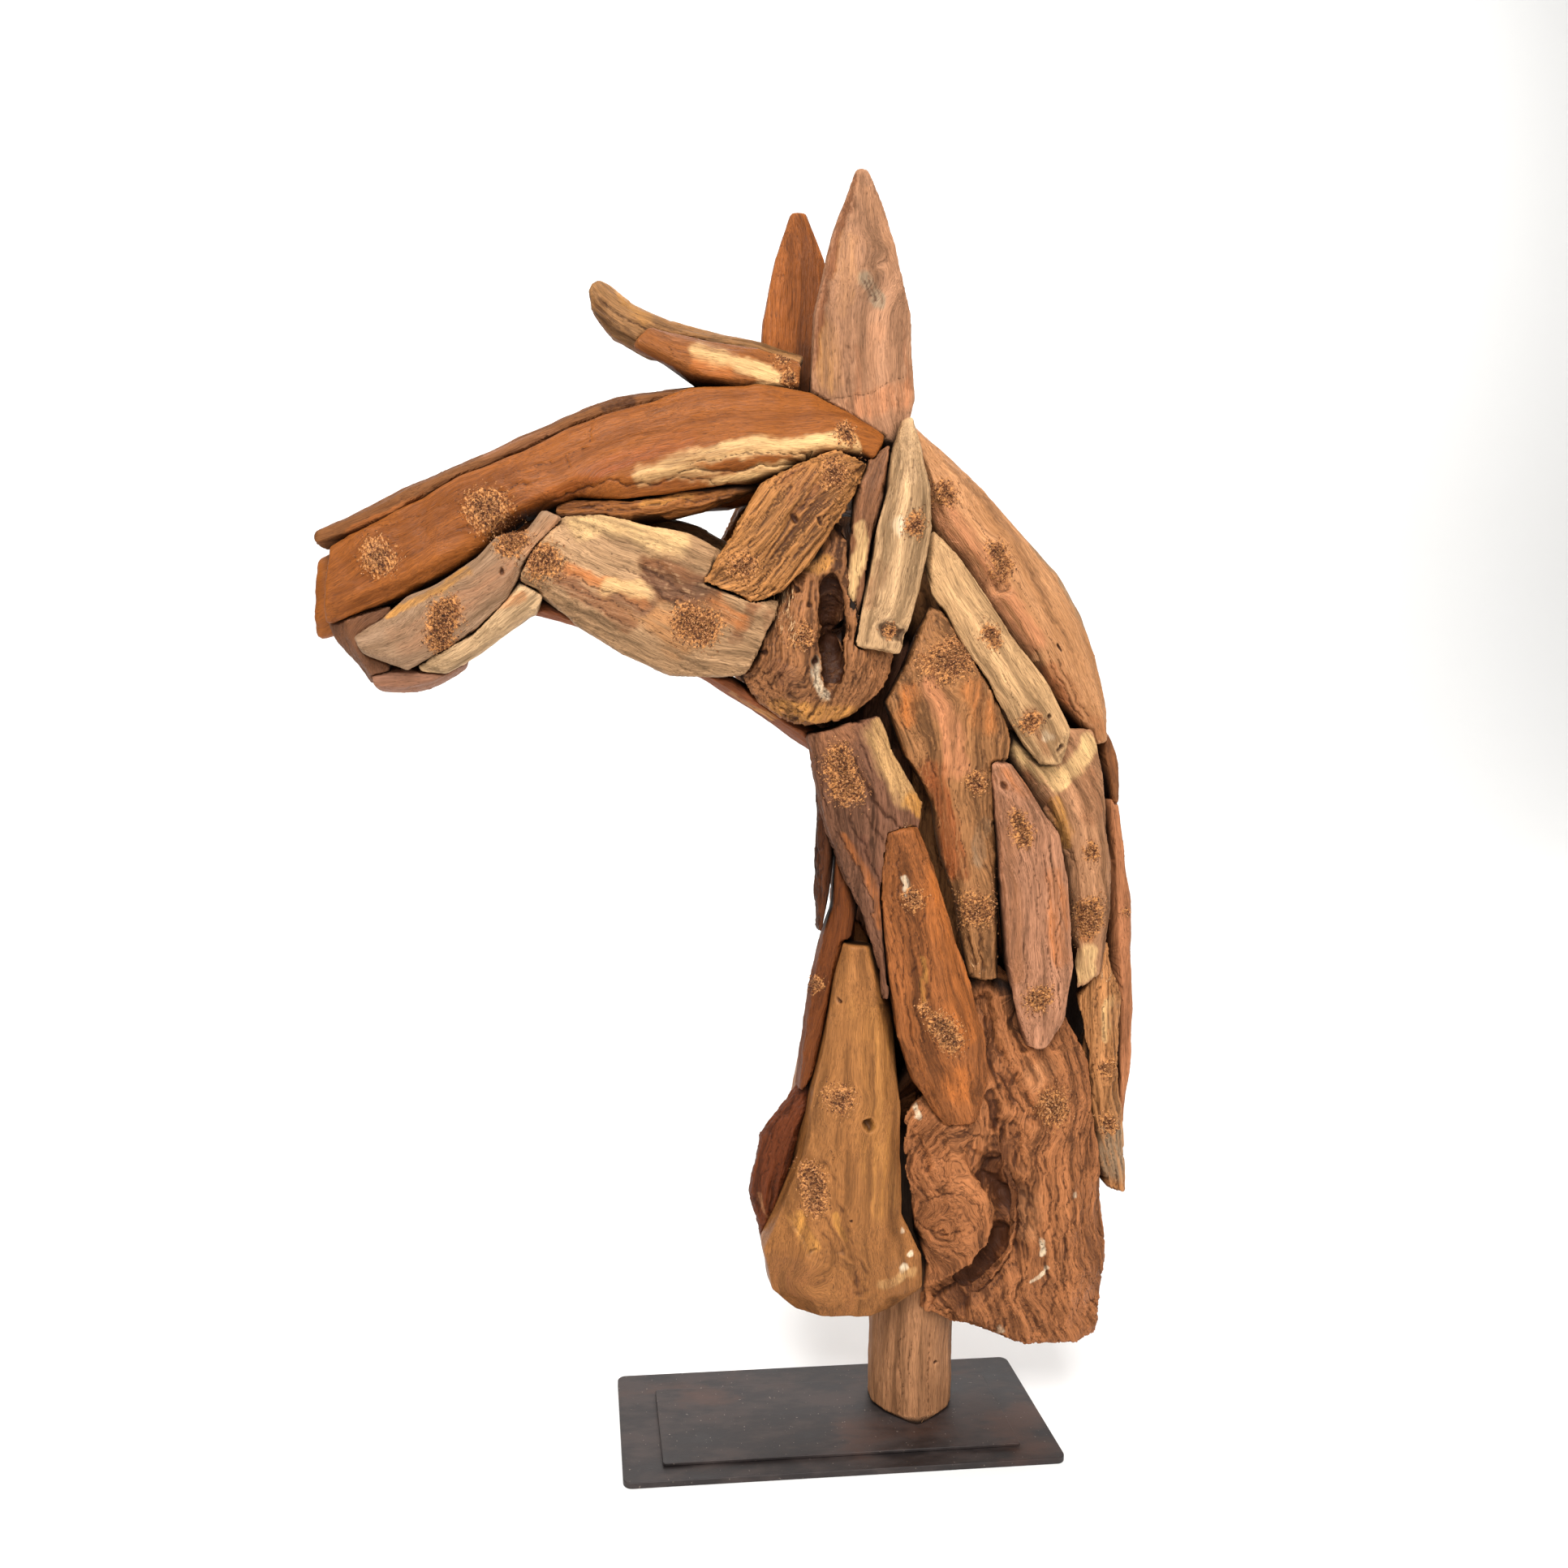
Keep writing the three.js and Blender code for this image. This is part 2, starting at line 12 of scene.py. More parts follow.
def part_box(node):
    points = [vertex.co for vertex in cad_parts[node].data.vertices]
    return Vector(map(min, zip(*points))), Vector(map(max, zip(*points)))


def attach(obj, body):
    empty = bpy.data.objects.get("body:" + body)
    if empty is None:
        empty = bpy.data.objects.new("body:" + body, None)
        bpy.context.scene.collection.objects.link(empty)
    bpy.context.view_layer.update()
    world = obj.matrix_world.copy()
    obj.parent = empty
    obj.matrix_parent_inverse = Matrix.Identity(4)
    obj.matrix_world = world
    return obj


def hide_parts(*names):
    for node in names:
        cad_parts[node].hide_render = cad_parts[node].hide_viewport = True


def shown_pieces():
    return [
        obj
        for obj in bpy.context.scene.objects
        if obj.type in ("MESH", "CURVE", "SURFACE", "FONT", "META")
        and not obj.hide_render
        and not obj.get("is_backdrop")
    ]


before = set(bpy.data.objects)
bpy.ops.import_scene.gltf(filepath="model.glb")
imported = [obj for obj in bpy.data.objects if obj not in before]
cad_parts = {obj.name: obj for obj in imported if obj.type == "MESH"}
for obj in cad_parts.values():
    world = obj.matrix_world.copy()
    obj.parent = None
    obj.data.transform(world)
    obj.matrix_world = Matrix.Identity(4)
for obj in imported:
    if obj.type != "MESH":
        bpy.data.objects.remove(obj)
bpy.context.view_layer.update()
scene = bpy.context.scene
print("frame loaded:", len(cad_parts), "nodes")

mm = 0.001


def linear(hexColor):
    channels = [int(hexColor[i:i + 2], 16) / 255 for i in (0, 2, 4)]
    return [c / 12.92 if c <= 0.04045 else ((c + 0.055) / 1.055) ** 2.4 for c in channels] + [1]


# adds a node with its settings and inputs, each a value or the socket it is linked to
def addNode(tree, kind, inputs=None, output=0, **settings):
    node = tree.nodes.new(kind)
    for name, value in settings.items():
        setattr(node, name, value)
    for key, value in (inputs or {}).items():
        if isinstance(value, bpy.types.NodeSocket):
            tree.links.new(value, node.inputs[key])
        else:
            node.inputs[key].default_value = value
    return node.outputs[output]


# a new material, what adds its nodes, its tree and its shader
def newMaterial(name):
    material = bpy.data.materials.new(name)
    material.use_nodes = True
    tree = material.node_tree
    return material, functools.partial(addNode, tree), tree, tree.nodes["Principled BSDF"]


# lays coats over a colour, each growing as what it follows goes from one value to another
def coated(add, color, coats):
    for source, begin, full, strength, tone in coats:
        amount = add("ShaderNodeMapRange", {0: source, 1: begin, 2: full, 3: 0.0, 4: strength},
                     interpolation_type="SMOOTHSTEP")
        color = add("ShaderNodeMix", {0: amount, 6: color, 7: tone}, 2, data_type="RGBA")
    return color


# how closely a pattern repeats along and across the grain, from its size in mm
def pitch(along, across):
    return (1 / (along * mm), 1 / (across * mm), 1 / (across * mm))


studio = {
    "floor": "f6f5f3",
    "skyStrength": 0.32,
    "softBoxes": {       # place, what it is aimed at, size in metres and power
        "key": ((-0.5, -1.8, 2.2), (0, 0, 0.5), 1.2, 88),
        "fill": ((1.7, -1.6, 0.9), (0, 0, 0.5), 1.4, 13),
        "rim": ((0.6, 1.4, 2.2), (0, 0, 0.6), 1.2, 16),
        "wall left": ((-1.6, 1.7, 3.2), (-1.2, 3.8, 1.2), 1.6, 60),
        "wall right": ((1.8, 1.7, 3.2), (1.6, 3.8, 1.2), 1.6, 60),
    },
}


def makeFloor(look):
    floorMesh = bpy.data.meshes.new("floor")
    build = bmesh.new()
    profile = [(-6, 0), (2.6, 0)]
    for i in range(1, 13):
        turn = i / 12 * math.pi / 2
        profile.append((2.6 + 1.2 * math.sin(turn), 1.2 - 1.2 * math.cos(turn)))
    profile.append((3.8, 6))
    rows = [[build.verts.new((x, y, z)) for x in (-7, 7)] for y, z in profile]
    for low, high in zip(rows, rows[1:]):
        build.faces.new((low[0], low[1], high[1], high[0]))
    build.normal_update()
    build.to_mesh(floorMesh)
    build.free()
    for face in floorMesh.polygons:
        face.use_smooth = True
    floor = bpy.data.objects.new("floor", floorMesh)
    scene.collection.objects.link(floor)
    paper, _, _, shader = newMaterial("seamless paper, matte white")  # even and without gloss
    shader.inputs["Base Color"].default_value = linear(look["floor"])
    shader.inputs["Roughness"].default_value = 0.9
    shader.inputs["Specular IOR Level"].default_value = 0.2
    floorMesh.materials.append(paper)
    floor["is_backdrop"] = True


def addSoftBox(name, place, target, size, power):
    lamp = bpy.data.lights.new(name, "AREA")
    lamp.shape = "SQUARE"
    lamp.size = size
    lamp.energy = power
    holder = bpy.data.objects.new(name, lamp)
    holder.location = place
    holder.rotation_mode = "QUATERNION"
    holder.rotation_quaternion = (Vector(target) - Vector(place)).to_track_quat("-Z", "Y")
    scene.collection.objects.link(holder)


def makeLights(look):
    for name, box in look["softBoxes"].items():
        addSoftBox(name, *box)
    world = bpy.data.worlds.new("studio")
    world.use_nodes = True
    background = world.node_tree.nodes["Background"]
    background.inputs["Color"].default_value = (1, 1, 1, 1)
    background.inputs["Strength"].default_value = look["skyStrength"]
    scene.world = world
    scene.view_settings.view_transform = "Standard"
    scene.view_settings.look = "None"


lensLook = {
    "focal": 29.8,                       # mm on a 36 mm frame
    "place": (-0.2030, -0.9897, 0.6275),
    "yaw": 5.82,                         # degrees, towards +X
    "pitch": 5.88,                       # degrees, downwards
    "roll": 0.33,
    "shift": 0.0471,
}


def makeCamera(look):
    yaw, down, roll = (math.radians(look[name]) for name in ("yaw", "pitch", "roll"))
    ahead = Vector((math.sin(yaw) * math.cos(down), math.cos(yaw) * math.cos(down),
                    -math.sin(down)))
    level = Vector((math.cos(yaw), -math.sin(yaw), 0))
    upright = level.cross(ahead)
    right = level * math.cos(roll) + upright * math.sin(roll)
    up = upright * math.cos(roll) - level * math.sin(roll)
    lens = bpy.data.cameras.new("camera")
    lens.lens = look["focal"]
    lens.sensor_width = 36
    lens.shift_x = look["shift"]
    camera = bpy.data.objects.new("camera", lens)
    axes = Matrix((right, up, -ahead)).transposed().to_4x4()
    camera.matrix_world = Matrix.Translation(look["place"]) @ axes
    scene.collection.objects.link(camera)
    scene.camera = camera


makeFloor(studio)
makeLights(studio)
makeCamera(lensLook)
print("studio ready")


# a new Geometry Nodes tree with its named inputs
def newTree(name, sockets):
    tree = bpy.data.node_groups.new(name, "GeometryNodeTree")
    for socket, kind in sockets:
        tree.interface.new_socket(socket, in_out="INPUT", socket_type="NodeSocket" + kind)
    tree.interface.new_socket("Geometry", in_out="OUTPUT", socket_type="NodeSocketGeometry")
    return tree, tree.nodes.new("NodeGroupInput").outputs


def endTree(tree, add, geometry, material):
    whole = add("GeometryNodeRealizeInstances", {0: geometry})
    done = add("GeometryNodeSetMaterial", {"Geometry": whole, "Material": material})
    tree.links.new(done, tree.nodes.new("NodeGroupOutput").inputs[0])


# sizes that the relief has on every piece
reliefLook = {
    "bends": 17.0,            # in a metre, where the grain wanders
    "dents": 26.0,            # in a metre
    "chips": 330.0,           # in a metre, where it is rough
    "chipDepth": 3.0,         # mm
    "flutes": 140,            # mm long
    "layers": (95, 15),       # mm along and across the grain
    "layerStep": 0.085,       # one split layer's share of the layers' depth
    "fibres": (34, 2.6),      # mm along and across, as fine as the mesh holds
    "feelers": 14,
    "feelerLift": 1.5,        # mm
    "feelerReach": 120,       # mm
    "crestBlur": 7,           # rounds
    "shutBlur": 4,
}


# A remeshed piece comes in with these on its points, all in metres:
#   run    how far along, across and into the piece a point lies, which the grain follows
#   cut    how deep the surface is carved there
#   rough  0 to 1, where it is chipped or full of crumbs
# "plug", "fray" and "stain" pass through, for the sawdust, the torn fibres and the wood.
# It leaves with "grain", the bent grain, "relief", the carving's height, "crest", how far a
# point stands out from its surroundings, and "shut", how far its neighbours close it in. The
# teak material paints shade where "relief" lies low, where "crest" dips and where "shut" is high.
def reliefTree(look):
    tree, start = newTree("teak relief", (
        ("Geometry", "Geometry"), ("Soften", "Int"), ("Dent Depth", "Float"),
        ("Flute Depth", "Float"), ("Flute Pitch", "Vector"), ("Layer Depth", "Float"),
        ("Fibre Depth", "Float"), ("Chip Depth", "Float"), ("Swirl", "Float"),
        ("Swell", "Float"), ("Reach", "Float"), ("Surroundings", "Object"), ("Seed", "Float"),
        ("Material", "Material")))
    add = functools.partial(addNode, tree)
    position = add("GeometryNodeInputPosition")
    normal = add("GeometryNodeInputNormal")
    run = add("GeometryNodeInputNamedAttribute", {"Name": "run"}, data_type="FLOAT_VECTOR")
    cut = add("GeometryNodeInputNamedAttribute", {"Name": "cut"}, data_type="FLOAT")
    rough = add("GeometryNodeInputNamedAttribute", {"Name": "rough"}, data_type="FLOAT")

    # the solid's broken corners are worn round first
    worn = add("GeometryNodeBlurAttribute", {"Value": position, "Iterations": start["Soften"]},
               data_type="FLOAT_VECTOR")
    shape = add("GeometryNodeSetPosition", {"Geometry": start["Geometry"], "Position": worn})

    # the grain wanders by the swirl's depth
    seed = add("ShaderNodeCombineXYZ", {0: start["Seed"], 1: start["Seed"], 2: start["Seed"]})
    place = add("ShaderNodeVectorMath", {0: position, 1: seed}, operation="ADD")
    bend = add("ShaderNodeTexNoise", {"Vector": place, "Scale": look["bends"], "Detail": 2.0},
               "Color")
    bend = add("ShaderNodeVectorMath", {0: bend, 1: (0.5, 0.5, 0.5)}, operation="SUBTRACT")
    bend = add("ShaderNodeVectorMath", {0: bend, "Scale": start["Swirl"]}, operation="SCALE")
    grain = add("ShaderNodeVectorMath", {0: run, 1: bend}, operation="ADD")
    grain = add("ShaderNodeVectorMath", {0: grain, 1: seed}, operation="ADD")
    shape = add("GeometryNodeStoreNamedAttribute",
                {"Geometry": shape, "Name": "grain", "Value": grain},
                data_type="FLOAT_VECTOR", domain="POINT")
    grain = add("GeometryNodeInputNamedAttribute", {"Name": "grain"}, data_type="FLOAT_VECTOR")

    # long flutes with sharp valleys
    flutes = add("ShaderNodeVectorMath", {0: grain, 1: start["Flute Pitch"]},
                 operation="MULTIPLY")
    flute = add("ShaderNodeTexNoise", {"Vector": flutes, "Scale": 1.0, "Detail": 4.0,
                                       "Roughness": 0.62})
    rise = add("ShaderNodeMath", {0: flute, 1: 0.5}, operation="SUBTRACT")
    valley = add("ShaderNodeMath", {0: rise}, operation="ABSOLUTE")
    valley = add("ShaderNodeMath", {0: valley, 1: -13.0, 2: 1.0}, operation="MULTIPLY_ADD",
                 use_clamp=True)
    height = add("ShaderNodeMath", {0: rise, 1: 2.6}, operation="MULTIPLY")
    height = add("ShaderNodeMath", {0: height, 1: valley}, operation="SUBTRACT")
    height = add("ShaderNodeMath", {0: height, 1: start["Flute Depth"]}, operation="MULTIPLY")

    # layers of wood that have split away leave steps with crisp edges
    split = add("ShaderNodeVectorMath", {0: grain, 1: pitch(*look["layers"])},
                operation="MULTIPLY")
    split = add("ShaderNodeTexNoise", {"Vector": split, "Scale": 1.0, "Detail": 3.0,
                                       "Roughness": 0.6, "Distortion": 0.3})
    step = add("ShaderNodeMath", {0: split, 1: look["layerStep"]}, operation="SNAP")
    step = add("ShaderNodeMath", {0: step, 1: -0.5}, operation="ADD")
    height = add("ShaderNodeMath", {0: step, 1: start["Layer Depth"], 2: height},
                 operation="MULTIPLY_ADD")

    # fibres, and chips where it is rough
    fibre = add("ShaderNodeVectorMath", {0: grain, 1: pitch(*look["fibres"])},
                operation="MULTIPLY")
    fibre = add("ShaderNodeTexNoise", {"Vector": fibre, "Scale": 1.0, "Detail": 1.0})
    fibre = add("ShaderNodeMath", {0: fibre, 1: -0.5}, operation="ADD")
    height = add("ShaderNodeMath", {0: fibre, 1: start["Fibre Depth"], 2: height},
                 operation="MULTIPLY_ADD")
    chip = add("ShaderNodeTexNoise", {"Vector": place, "Scale": look["chips"], "Detail": 1.0})
    chip = add("ShaderNodeMath", {0: chip, 1: -0.46}, operation="ADD")
    chip = add("ShaderNodeMath", {0: chip, 1: rough}, operation="MULTIPLY")
    height = add("ShaderNodeMath", {0: chip, 1: start["Chip Depth"], 2: height},
                 operation="MULTIPLY_ADD")
    # kept as "relief": the height so far less three tenths of the carving, for painted shade
    valleyShade = add("ShaderNodeMath", {0: cut, 1: -0.3, 2: height}, operation="MULTIPLY_ADD")
    shape = add("GeometryNodeStoreNamedAttribute",
                {"Geometry": shape, "Name": "relief", "Value": valleyShade},
                data_type="FLOAT", domain="POINT")

    # hewn hollows and bumps, and the swell gives back what the wear took
    dent = add("ShaderNodeTexNoise", {"Vector": place, "Scale": look["dents"], "Detail": 2.0})
    dent = add("ShaderNodeMath", {0: dent, 1: -0.5}, operation="ADD")
    height = add("ShaderNodeMath", {0: dent, 1: start["Dent Depth"], 2: height},
                 operation="MULTIPLY_ADD")
    height = add("ShaderNodeMath", {0: height, 1: cut}, operation="SUBTRACT")
    height = add("ShaderNodeMath", {0: height, 1: start["Swell"]}, operation="ADD")
    move = add("ShaderNodeVectorMath", {0: normal, "Scale": height}, operation="SCALE")
    shape = add("GeometryNodeSetPosition", {"Geometry": shape, "Offset": move})

    around = add("GeometryNodeBlurAttribute",
                 {"Value": position, "Iterations": look["crestBlur"]}, data_type="FLOAT_VECTOR")
    crest = add("ShaderNodeVectorMath", {0: position, 1: around}, operation="SUBTRACT")
    crest = add("ShaderNodeVectorMath", {0: crest, 1: normal}, "Value", operation="DOT_PRODUCT")
    shape = add("GeometryNodeStoreNamedAttribute",
                {"Geometry": shape, "Name": "crest", "Value": crest},
                data_type="FLOAT", domain="POINT")

    # feelers go out from each point, evenly about its normal, and the near hits count most
    pieces = add("GeometryNodeObjectInfo", {"Object": start["Surroundings"]}, "Geometry")
    lift = add("ShaderNodeVectorMath", {0: normal, "Scale": look["feelerLift"] * mm},
               operation="SCALE")
    source = add("ShaderNodeVectorMath", {0: position, 1: lift}, operation="ADD")
    feelers = look["feelers"]
    shut = 0.0
    for i in range(feelers):
        rising = 1 - 2 * (i + 0.5) / feelers
        turn = i * math.pi * (3 - math.sqrt(5))
        flat = math.sqrt(1 - rising * rising)
        spoke = (flat * math.cos(turn), flat * math.sin(turn), rising)
        aim = add("ShaderNodeVectorMath", {0: normal, 1: spoke}, operation="ADD")
        hit = add("GeometryNodeRaycast", {"Target Geometry": pieces, "Source Position": source,
                                          "Ray Direction": aim, "Ray Length": start["Reach"]})
        far = add("ShaderNodeMath", {0: hit.node.outputs["Hit Distance"], 1: start["Reach"]},
                  operation="DIVIDE")
        near = add("ShaderNodeMath", {0: 1.0, 1: far}, operation="SUBTRACT")
        near = add("ShaderNodeMath", {0: near, 1: hit}, operation="MULTIPLY")
        shut = add("ShaderNodeMath", {0: near, 1: 1 / feelers, 2: shut},
                   operation="MULTIPLY_ADD")
    shut = add("GeometryNodeBlurAttribute", {"Value": shut, "Iterations": look["shutBlur"]},
               data_type="FLOAT")
    # stored for the teak material's painted shade between pieces, and for thinning what is hidden
    shape = add("GeometryNodeStoreNamedAttribute",
                {"Geometry": shape, "Name": "shut", "Value": shut},
                data_type="FLOAT", domain="POINT")
    shape = add("GeometryNodeSetShadeSmooth", {0: shape})
    endTree(tree, add, shape, start["Material"])
    return tree


# three-sided slivers over the parts of a piece where a field is high: short and tumbled for
# sawdust, long and in line with the grain for frayed ends
def sliverTree():
    tree, start = newTree("slivers", (
        ("Geometry", "Geometry"), ("Field", "String"), ("Per Square Metre", "Float"),
        ("Smallest", "Float"), ("Largest", "Float"), ("Slimness", "Float"), ("Lie", "Vector"),
        ("Tumble", "Float"), ("Seed", "Int"), ("Material", "Material")))
    add = functools.partial(addNode, tree)
    field = add("GeometryNodeInputNamedAttribute", {"Name": start["Field"]}, data_type="FLOAT")
    density = add("ShaderNodeMath", {0: field, 1: 1.5}, operation="POWER")
    density = add("ShaderNodeMath", {0: density, 1: start["Per Square Metre"]},
                  operation="MULTIPLY")
    points = add("GeometryNodeDistributePointsOnFaces",
                 {"Mesh": start["Geometry"], "Density": density, "Seed": start["Seed"]})
    sliver = add("GeometryNodeMeshCone", {"Vertices": 3, "Radius Top": 0.0,
                                          "Radius Bottom": 0.48, "Depth": 1.0},
                 fill_type="NGON")
    stray = add("FunctionNodeRandomValue", {0: (-1, -1, -1), 1: (1, 1, 1), "Seed": start["Seed"]},
                data_type="FLOAT_VECTOR")
    stray = add("ShaderNodeVectorMath", {0: stray, "Scale": start["Tumble"]}, operation="SCALE")
    aim = add("ShaderNodeVectorMath", {0: start["Lie"], 1: stray}, operation="ADD")
    turn = add("FunctionNodeAlignRotationToVector", {"Vector": aim}, axis="Z")
    size = add("FunctionNodeRandomValue", {2: start["Smallest"], 3: start["Largest"],
                                           "Seed": start["Seed"]}, 1, data_type="FLOAT")
    girth = add("ShaderNodeMath", {0: size, 1: start["Slimness"]}, operation="MULTIPLY")
    scale = add("ShaderNodeCombineXYZ", {0: girth, 1: girth, 2: size})
    spread = add("GeometryNodeInstanceOnPoints",
                 {"Points": points, "Instance": sliver, "Rotation": turn, "Scale": scale})
    endTree(tree, add, spread, start["Material"])
    return tree


# the mesh that an object's modifiers make
def madeOf(holder):
    depsgraph = bpy.context.evaluated_depsgraph_get()
    return bpy.data.meshes.new_from_object(holder.evaluated_get(depsgraph))


# several meshes in one object
def joined(name, meshes):
    build = bmesh.new()
    for mesh in meshes:
        build.from_mesh(mesh)
    together = bpy.data.meshes.new(name)
    build.to_mesh(together)
    build.free()
    return bpy.data.objects.new(name, together)


# runs a tree on an object and returns the result as a plain mesh
def meshThrough(holder, tree, values):
    modifier = holder.modifiers.new("shape", "NODES")
    modifier.node_group = tree
    for item in tree.interface.items_tree:
        if item.in_out == "INPUT" and item.name in values:
            modifier[item.identifier] = values[item.name]
    made = madeOf(holder)
    holder.modifiers.remove(modifier)
    return made


relief = reliefTree(reliefLook)
slivers = sliverTree()
print("node trees ready")

# stain colours that a mark can leave on the wood
stains = {
    "pale": "dab077", "golden": "c3873f", "sand": "c89a62", "tan": "a06a3b", "rose": "c18558",
    "pink": "b7774f", "mauve": "8f5d3c", "purple": "5c3626", "grey": "837058", "bone": "e1caa8",
    "orange": "b0642c", "red": "8c461f", "brown": "714022", "dark": "2d1409",
}

# what each slot's wood is and how it was finished
finishes = {
    "brown_teak": "old teak, dark brown",
    "golden_teak": "oiled teak, golden",
    "grey_teak": "weathered teak, grey-brown",
    "orange_teak": "oiled teak, orange",
    "pale_teak": "teak sapwood, pale",
    "pink_teak": "sawn teak, pinkish",
    "red_teak": "oiled teak, red-brown",
}

# patterns that follow the grain: mm along it, mm across it, detail and twist
grainLayers = {
    "streak": (110, 8.7, 5.0, 0.4),    # coarse early and late wood
    "band": (380, 26, 2.0, 0.3),       # heartwood bands
    "line": (190, 3.6, 2.0, 0.2),      # growth lines
    "fibre": (15, 0.7, 2.0, 0.0),
    "pore": (8, 0.45, 1.0, 0.0),       # short dashes, drawn half as coarse again to show
}


# Old split teak, oiled: long darker and lighter streaks, thin dark growth lines, short open
# pores and a low satin gloss, with painted shade in every valley and crease and between the
# pieces, and paler, rubbed edges.
def teak(look):
    name = finishes[look["slot"]] + ", " + look["node"].replace("_", " ")
    material, add, tree, shader = newMaterial(name)
    grain, relief, crest, shut, plug = (
        add("ShaderNodeAttribute", None, output, attribute_name=name)
        for name, output in (("grain", "Vector"), ("relief", "Fac"), ("crest", "Fac"),
                             ("shut", "Fac"), ("plug", "Fac")))
    stain = add("ShaderNodeAttribute", None, "Color", attribute_name="stain")
    noise = {}
    for name, (along, across, detail, twist) in grainLayers.items():
        place = add("ShaderNodeVectorMath", {0: grain, 1: pitch(along, across)},
                    operation="MULTIPLY")
        noise[name] = add("ShaderNodeTexNoise",
                          {"Vector": place, "Scale": 1.0, "Detail": detail,
                           "Roughness": 0.58, "Distortion": twist})
    weather = add("ShaderNodeTexNoise", {"Vector": grain, "Scale": 21.0, "Detail": 3.0})
    dust = add("ShaderNodeTexNoise", {"Vector": grain, "Scale": 640.0, "Detail": 2.0})
    line = add("ShaderNodeMath", {0: noise["line"], 1: -0.5}, operation="ADD")
    line = add("ShaderNodeMath", {0: line}, operation="ABSOLUTE")

    # each coat: what it follows, where it starts and where it is full, how strong, its colour
    dark, middle, light = (linear(tone) for tone in look["tones"])
    color = coated(add, middle, (
        (noise["streak"], 0.51, 0.66, look["streaks"], light),
        (noise["streak"], 0.50, 0.36, look["streaks"], dark),
        (noise["band"], 0.52, 0.68, look["bands"], dark),
        (noise["band"], 0.46, 0.32, look["bands"], light),
        (line, 0.035, 0.0, look["lines"], dark),
        (weather, 0.48, 0.68, look["grey"], linear(stains["grey"]))))

    # stains run out along the grain and keep its streaks
    ragged = add("ShaderNodeMath", {0: noise["streak"], 1: 2.6, 2: -0.3},
                 operation="MULTIPLY_ADD")
    amount = add("ShaderNodeMath", {0: stain.node.outputs["Alpha"], 1: ragged},
                 operation="MULTIPLY")
    shade = add("ShaderNodeMapRange", {0: noise["streak"], 1: 0.32, 2: 0.66, 3: 0.62, 4: 1.22})
    stained = add("ShaderNodeVectorMath", {0: stain, "Scale": shade}, operation="SCALE")
    color = coated(add, color, [(amount, 0.1, 0.95, 0.78, stained)])
    shade = add("ShaderNodeMapRange", {0: noise["fibre"], 1: 0.3, 2: 0.7, 3: 0.72, 4: 1.24})
    color = add("ShaderNodeVectorMath", {0: color, "Scale": shade}, operation="SCALE")

    # rubbed edges, then pores, painted shade in the valleys and creases, sawdust round a peg,
    # which is darkest in its middle, and painted shade between the pieces
    sawn = add("ShaderNodeMix", {0: add("ShaderNodeMapRange", {0: dust, 1: 0.42, 2: 0.6}),
                                 6: linear("5a3119"), 7: linear("c98a50")}, 2, data_type="RGBA")
    bed = add("ShaderNodeMath", {0: dust, 1: -0.5}, operation="ADD")
    bed = add("ShaderNodeMath", {0: bed, 1: plug}, operation="ADD")
    color = coated(add, color, (
        (crest, 0.1 * mm, 0.6 * mm, 0.4, light),
        (noise["pore"], 0.38, 0.31, look["pores"], linear("3d2213")),
        # painted shade: darker where the relief lies low
        (relief, -1.0 * mm, -4.8 * mm, 0.66, linear("3a1c0c")),
        # painted shade in the concave creases
        (crest, -0.07 * mm, -0.6 * mm, 0.62, linear("34190b")),
        (bed, 0.35, 0.75, 1.0, sawn),
        (plug, 0.72, 1.0, 0.5, linear("2a150a")),
        # painted shade where neighbouring pieces close the surface in
        (shut, 0.34, 0.62, 0.95, linear("0e0704"))))
    tree.links.new(color, shader.inputs["Base Color"])

    gloss = add("ShaderNodeMapRange", {0: noise["streak"], 1: 0.3, 2: 0.7,
                                       3: look["gloss"] + 0.1, 4: look["gloss"] - 0.07})
    gloss = add("ShaderNodeMath", {0: plug, 1: 0.3, 2: gloss}, operation="MULTIPLY_ADD",
                use_clamp=True)
    tree.links.new(gloss, shader.inputs["Roughness"])
    shader.inputs["IOR"].default_value = 1.5
    shader.inputs["Specular IOR Level"].default_value = 0.16

    # fibres, streaks and dust stand up, growth lines and pores lie low
    height = 0.0
    for source, share in ((noise["fibre"], 0.9), (noise["streak"], 1.1), (noise["pore"], 0.5),
                          (line, 1.5)):
        height = add("ShaderNodeMath", {0: source, 1: share, 2: height},
                     operation="MULTIPLY_ADD")
    height = add("ShaderNodeMath", {0: dust, 1: plug, 2: height}, operation="MULTIPLY_ADD")
    bump = add("ShaderNodeBump", {"Strength": look["bump"], "Distance": 1.3 * mm,
                                  "Height": height})
    tree.links.new(bump, shader.inputs["Normal"])
    return material


# Loose crumbs and torn fibres of teak: dry and dull, with no oil on them, and mixed in colour
# because each one shows another side of the wood.
def looseTeak(look):
    material, add, tree, shader = newMaterial(look["finish"])
    place = add("ShaderNodeTexCoord", None, "Object")
    mix = add("ShaderNodeTexNoise", {"Vector": place, "Scale": look["specks"], "Detail": 1.0})
    ramp = add("ShaderNodeValToRGB", {0: mix})
    steps = ramp.node.color_ramp.elements
    steps[0].position, steps[1].position = look["ramp"][0][0], look["ramp"][-1][0]
    for where, tone in look["ramp"]:
        found = [step for step in steps if abs(step.position - where) < 0.001]
        (found[0] if found else steps.new(where)).color = linear(tone)
    tree.links.new(ramp, shader.inputs["Base Color"])
    shader.inputs["Roughness"].default_value = look["roughness"]
    return material


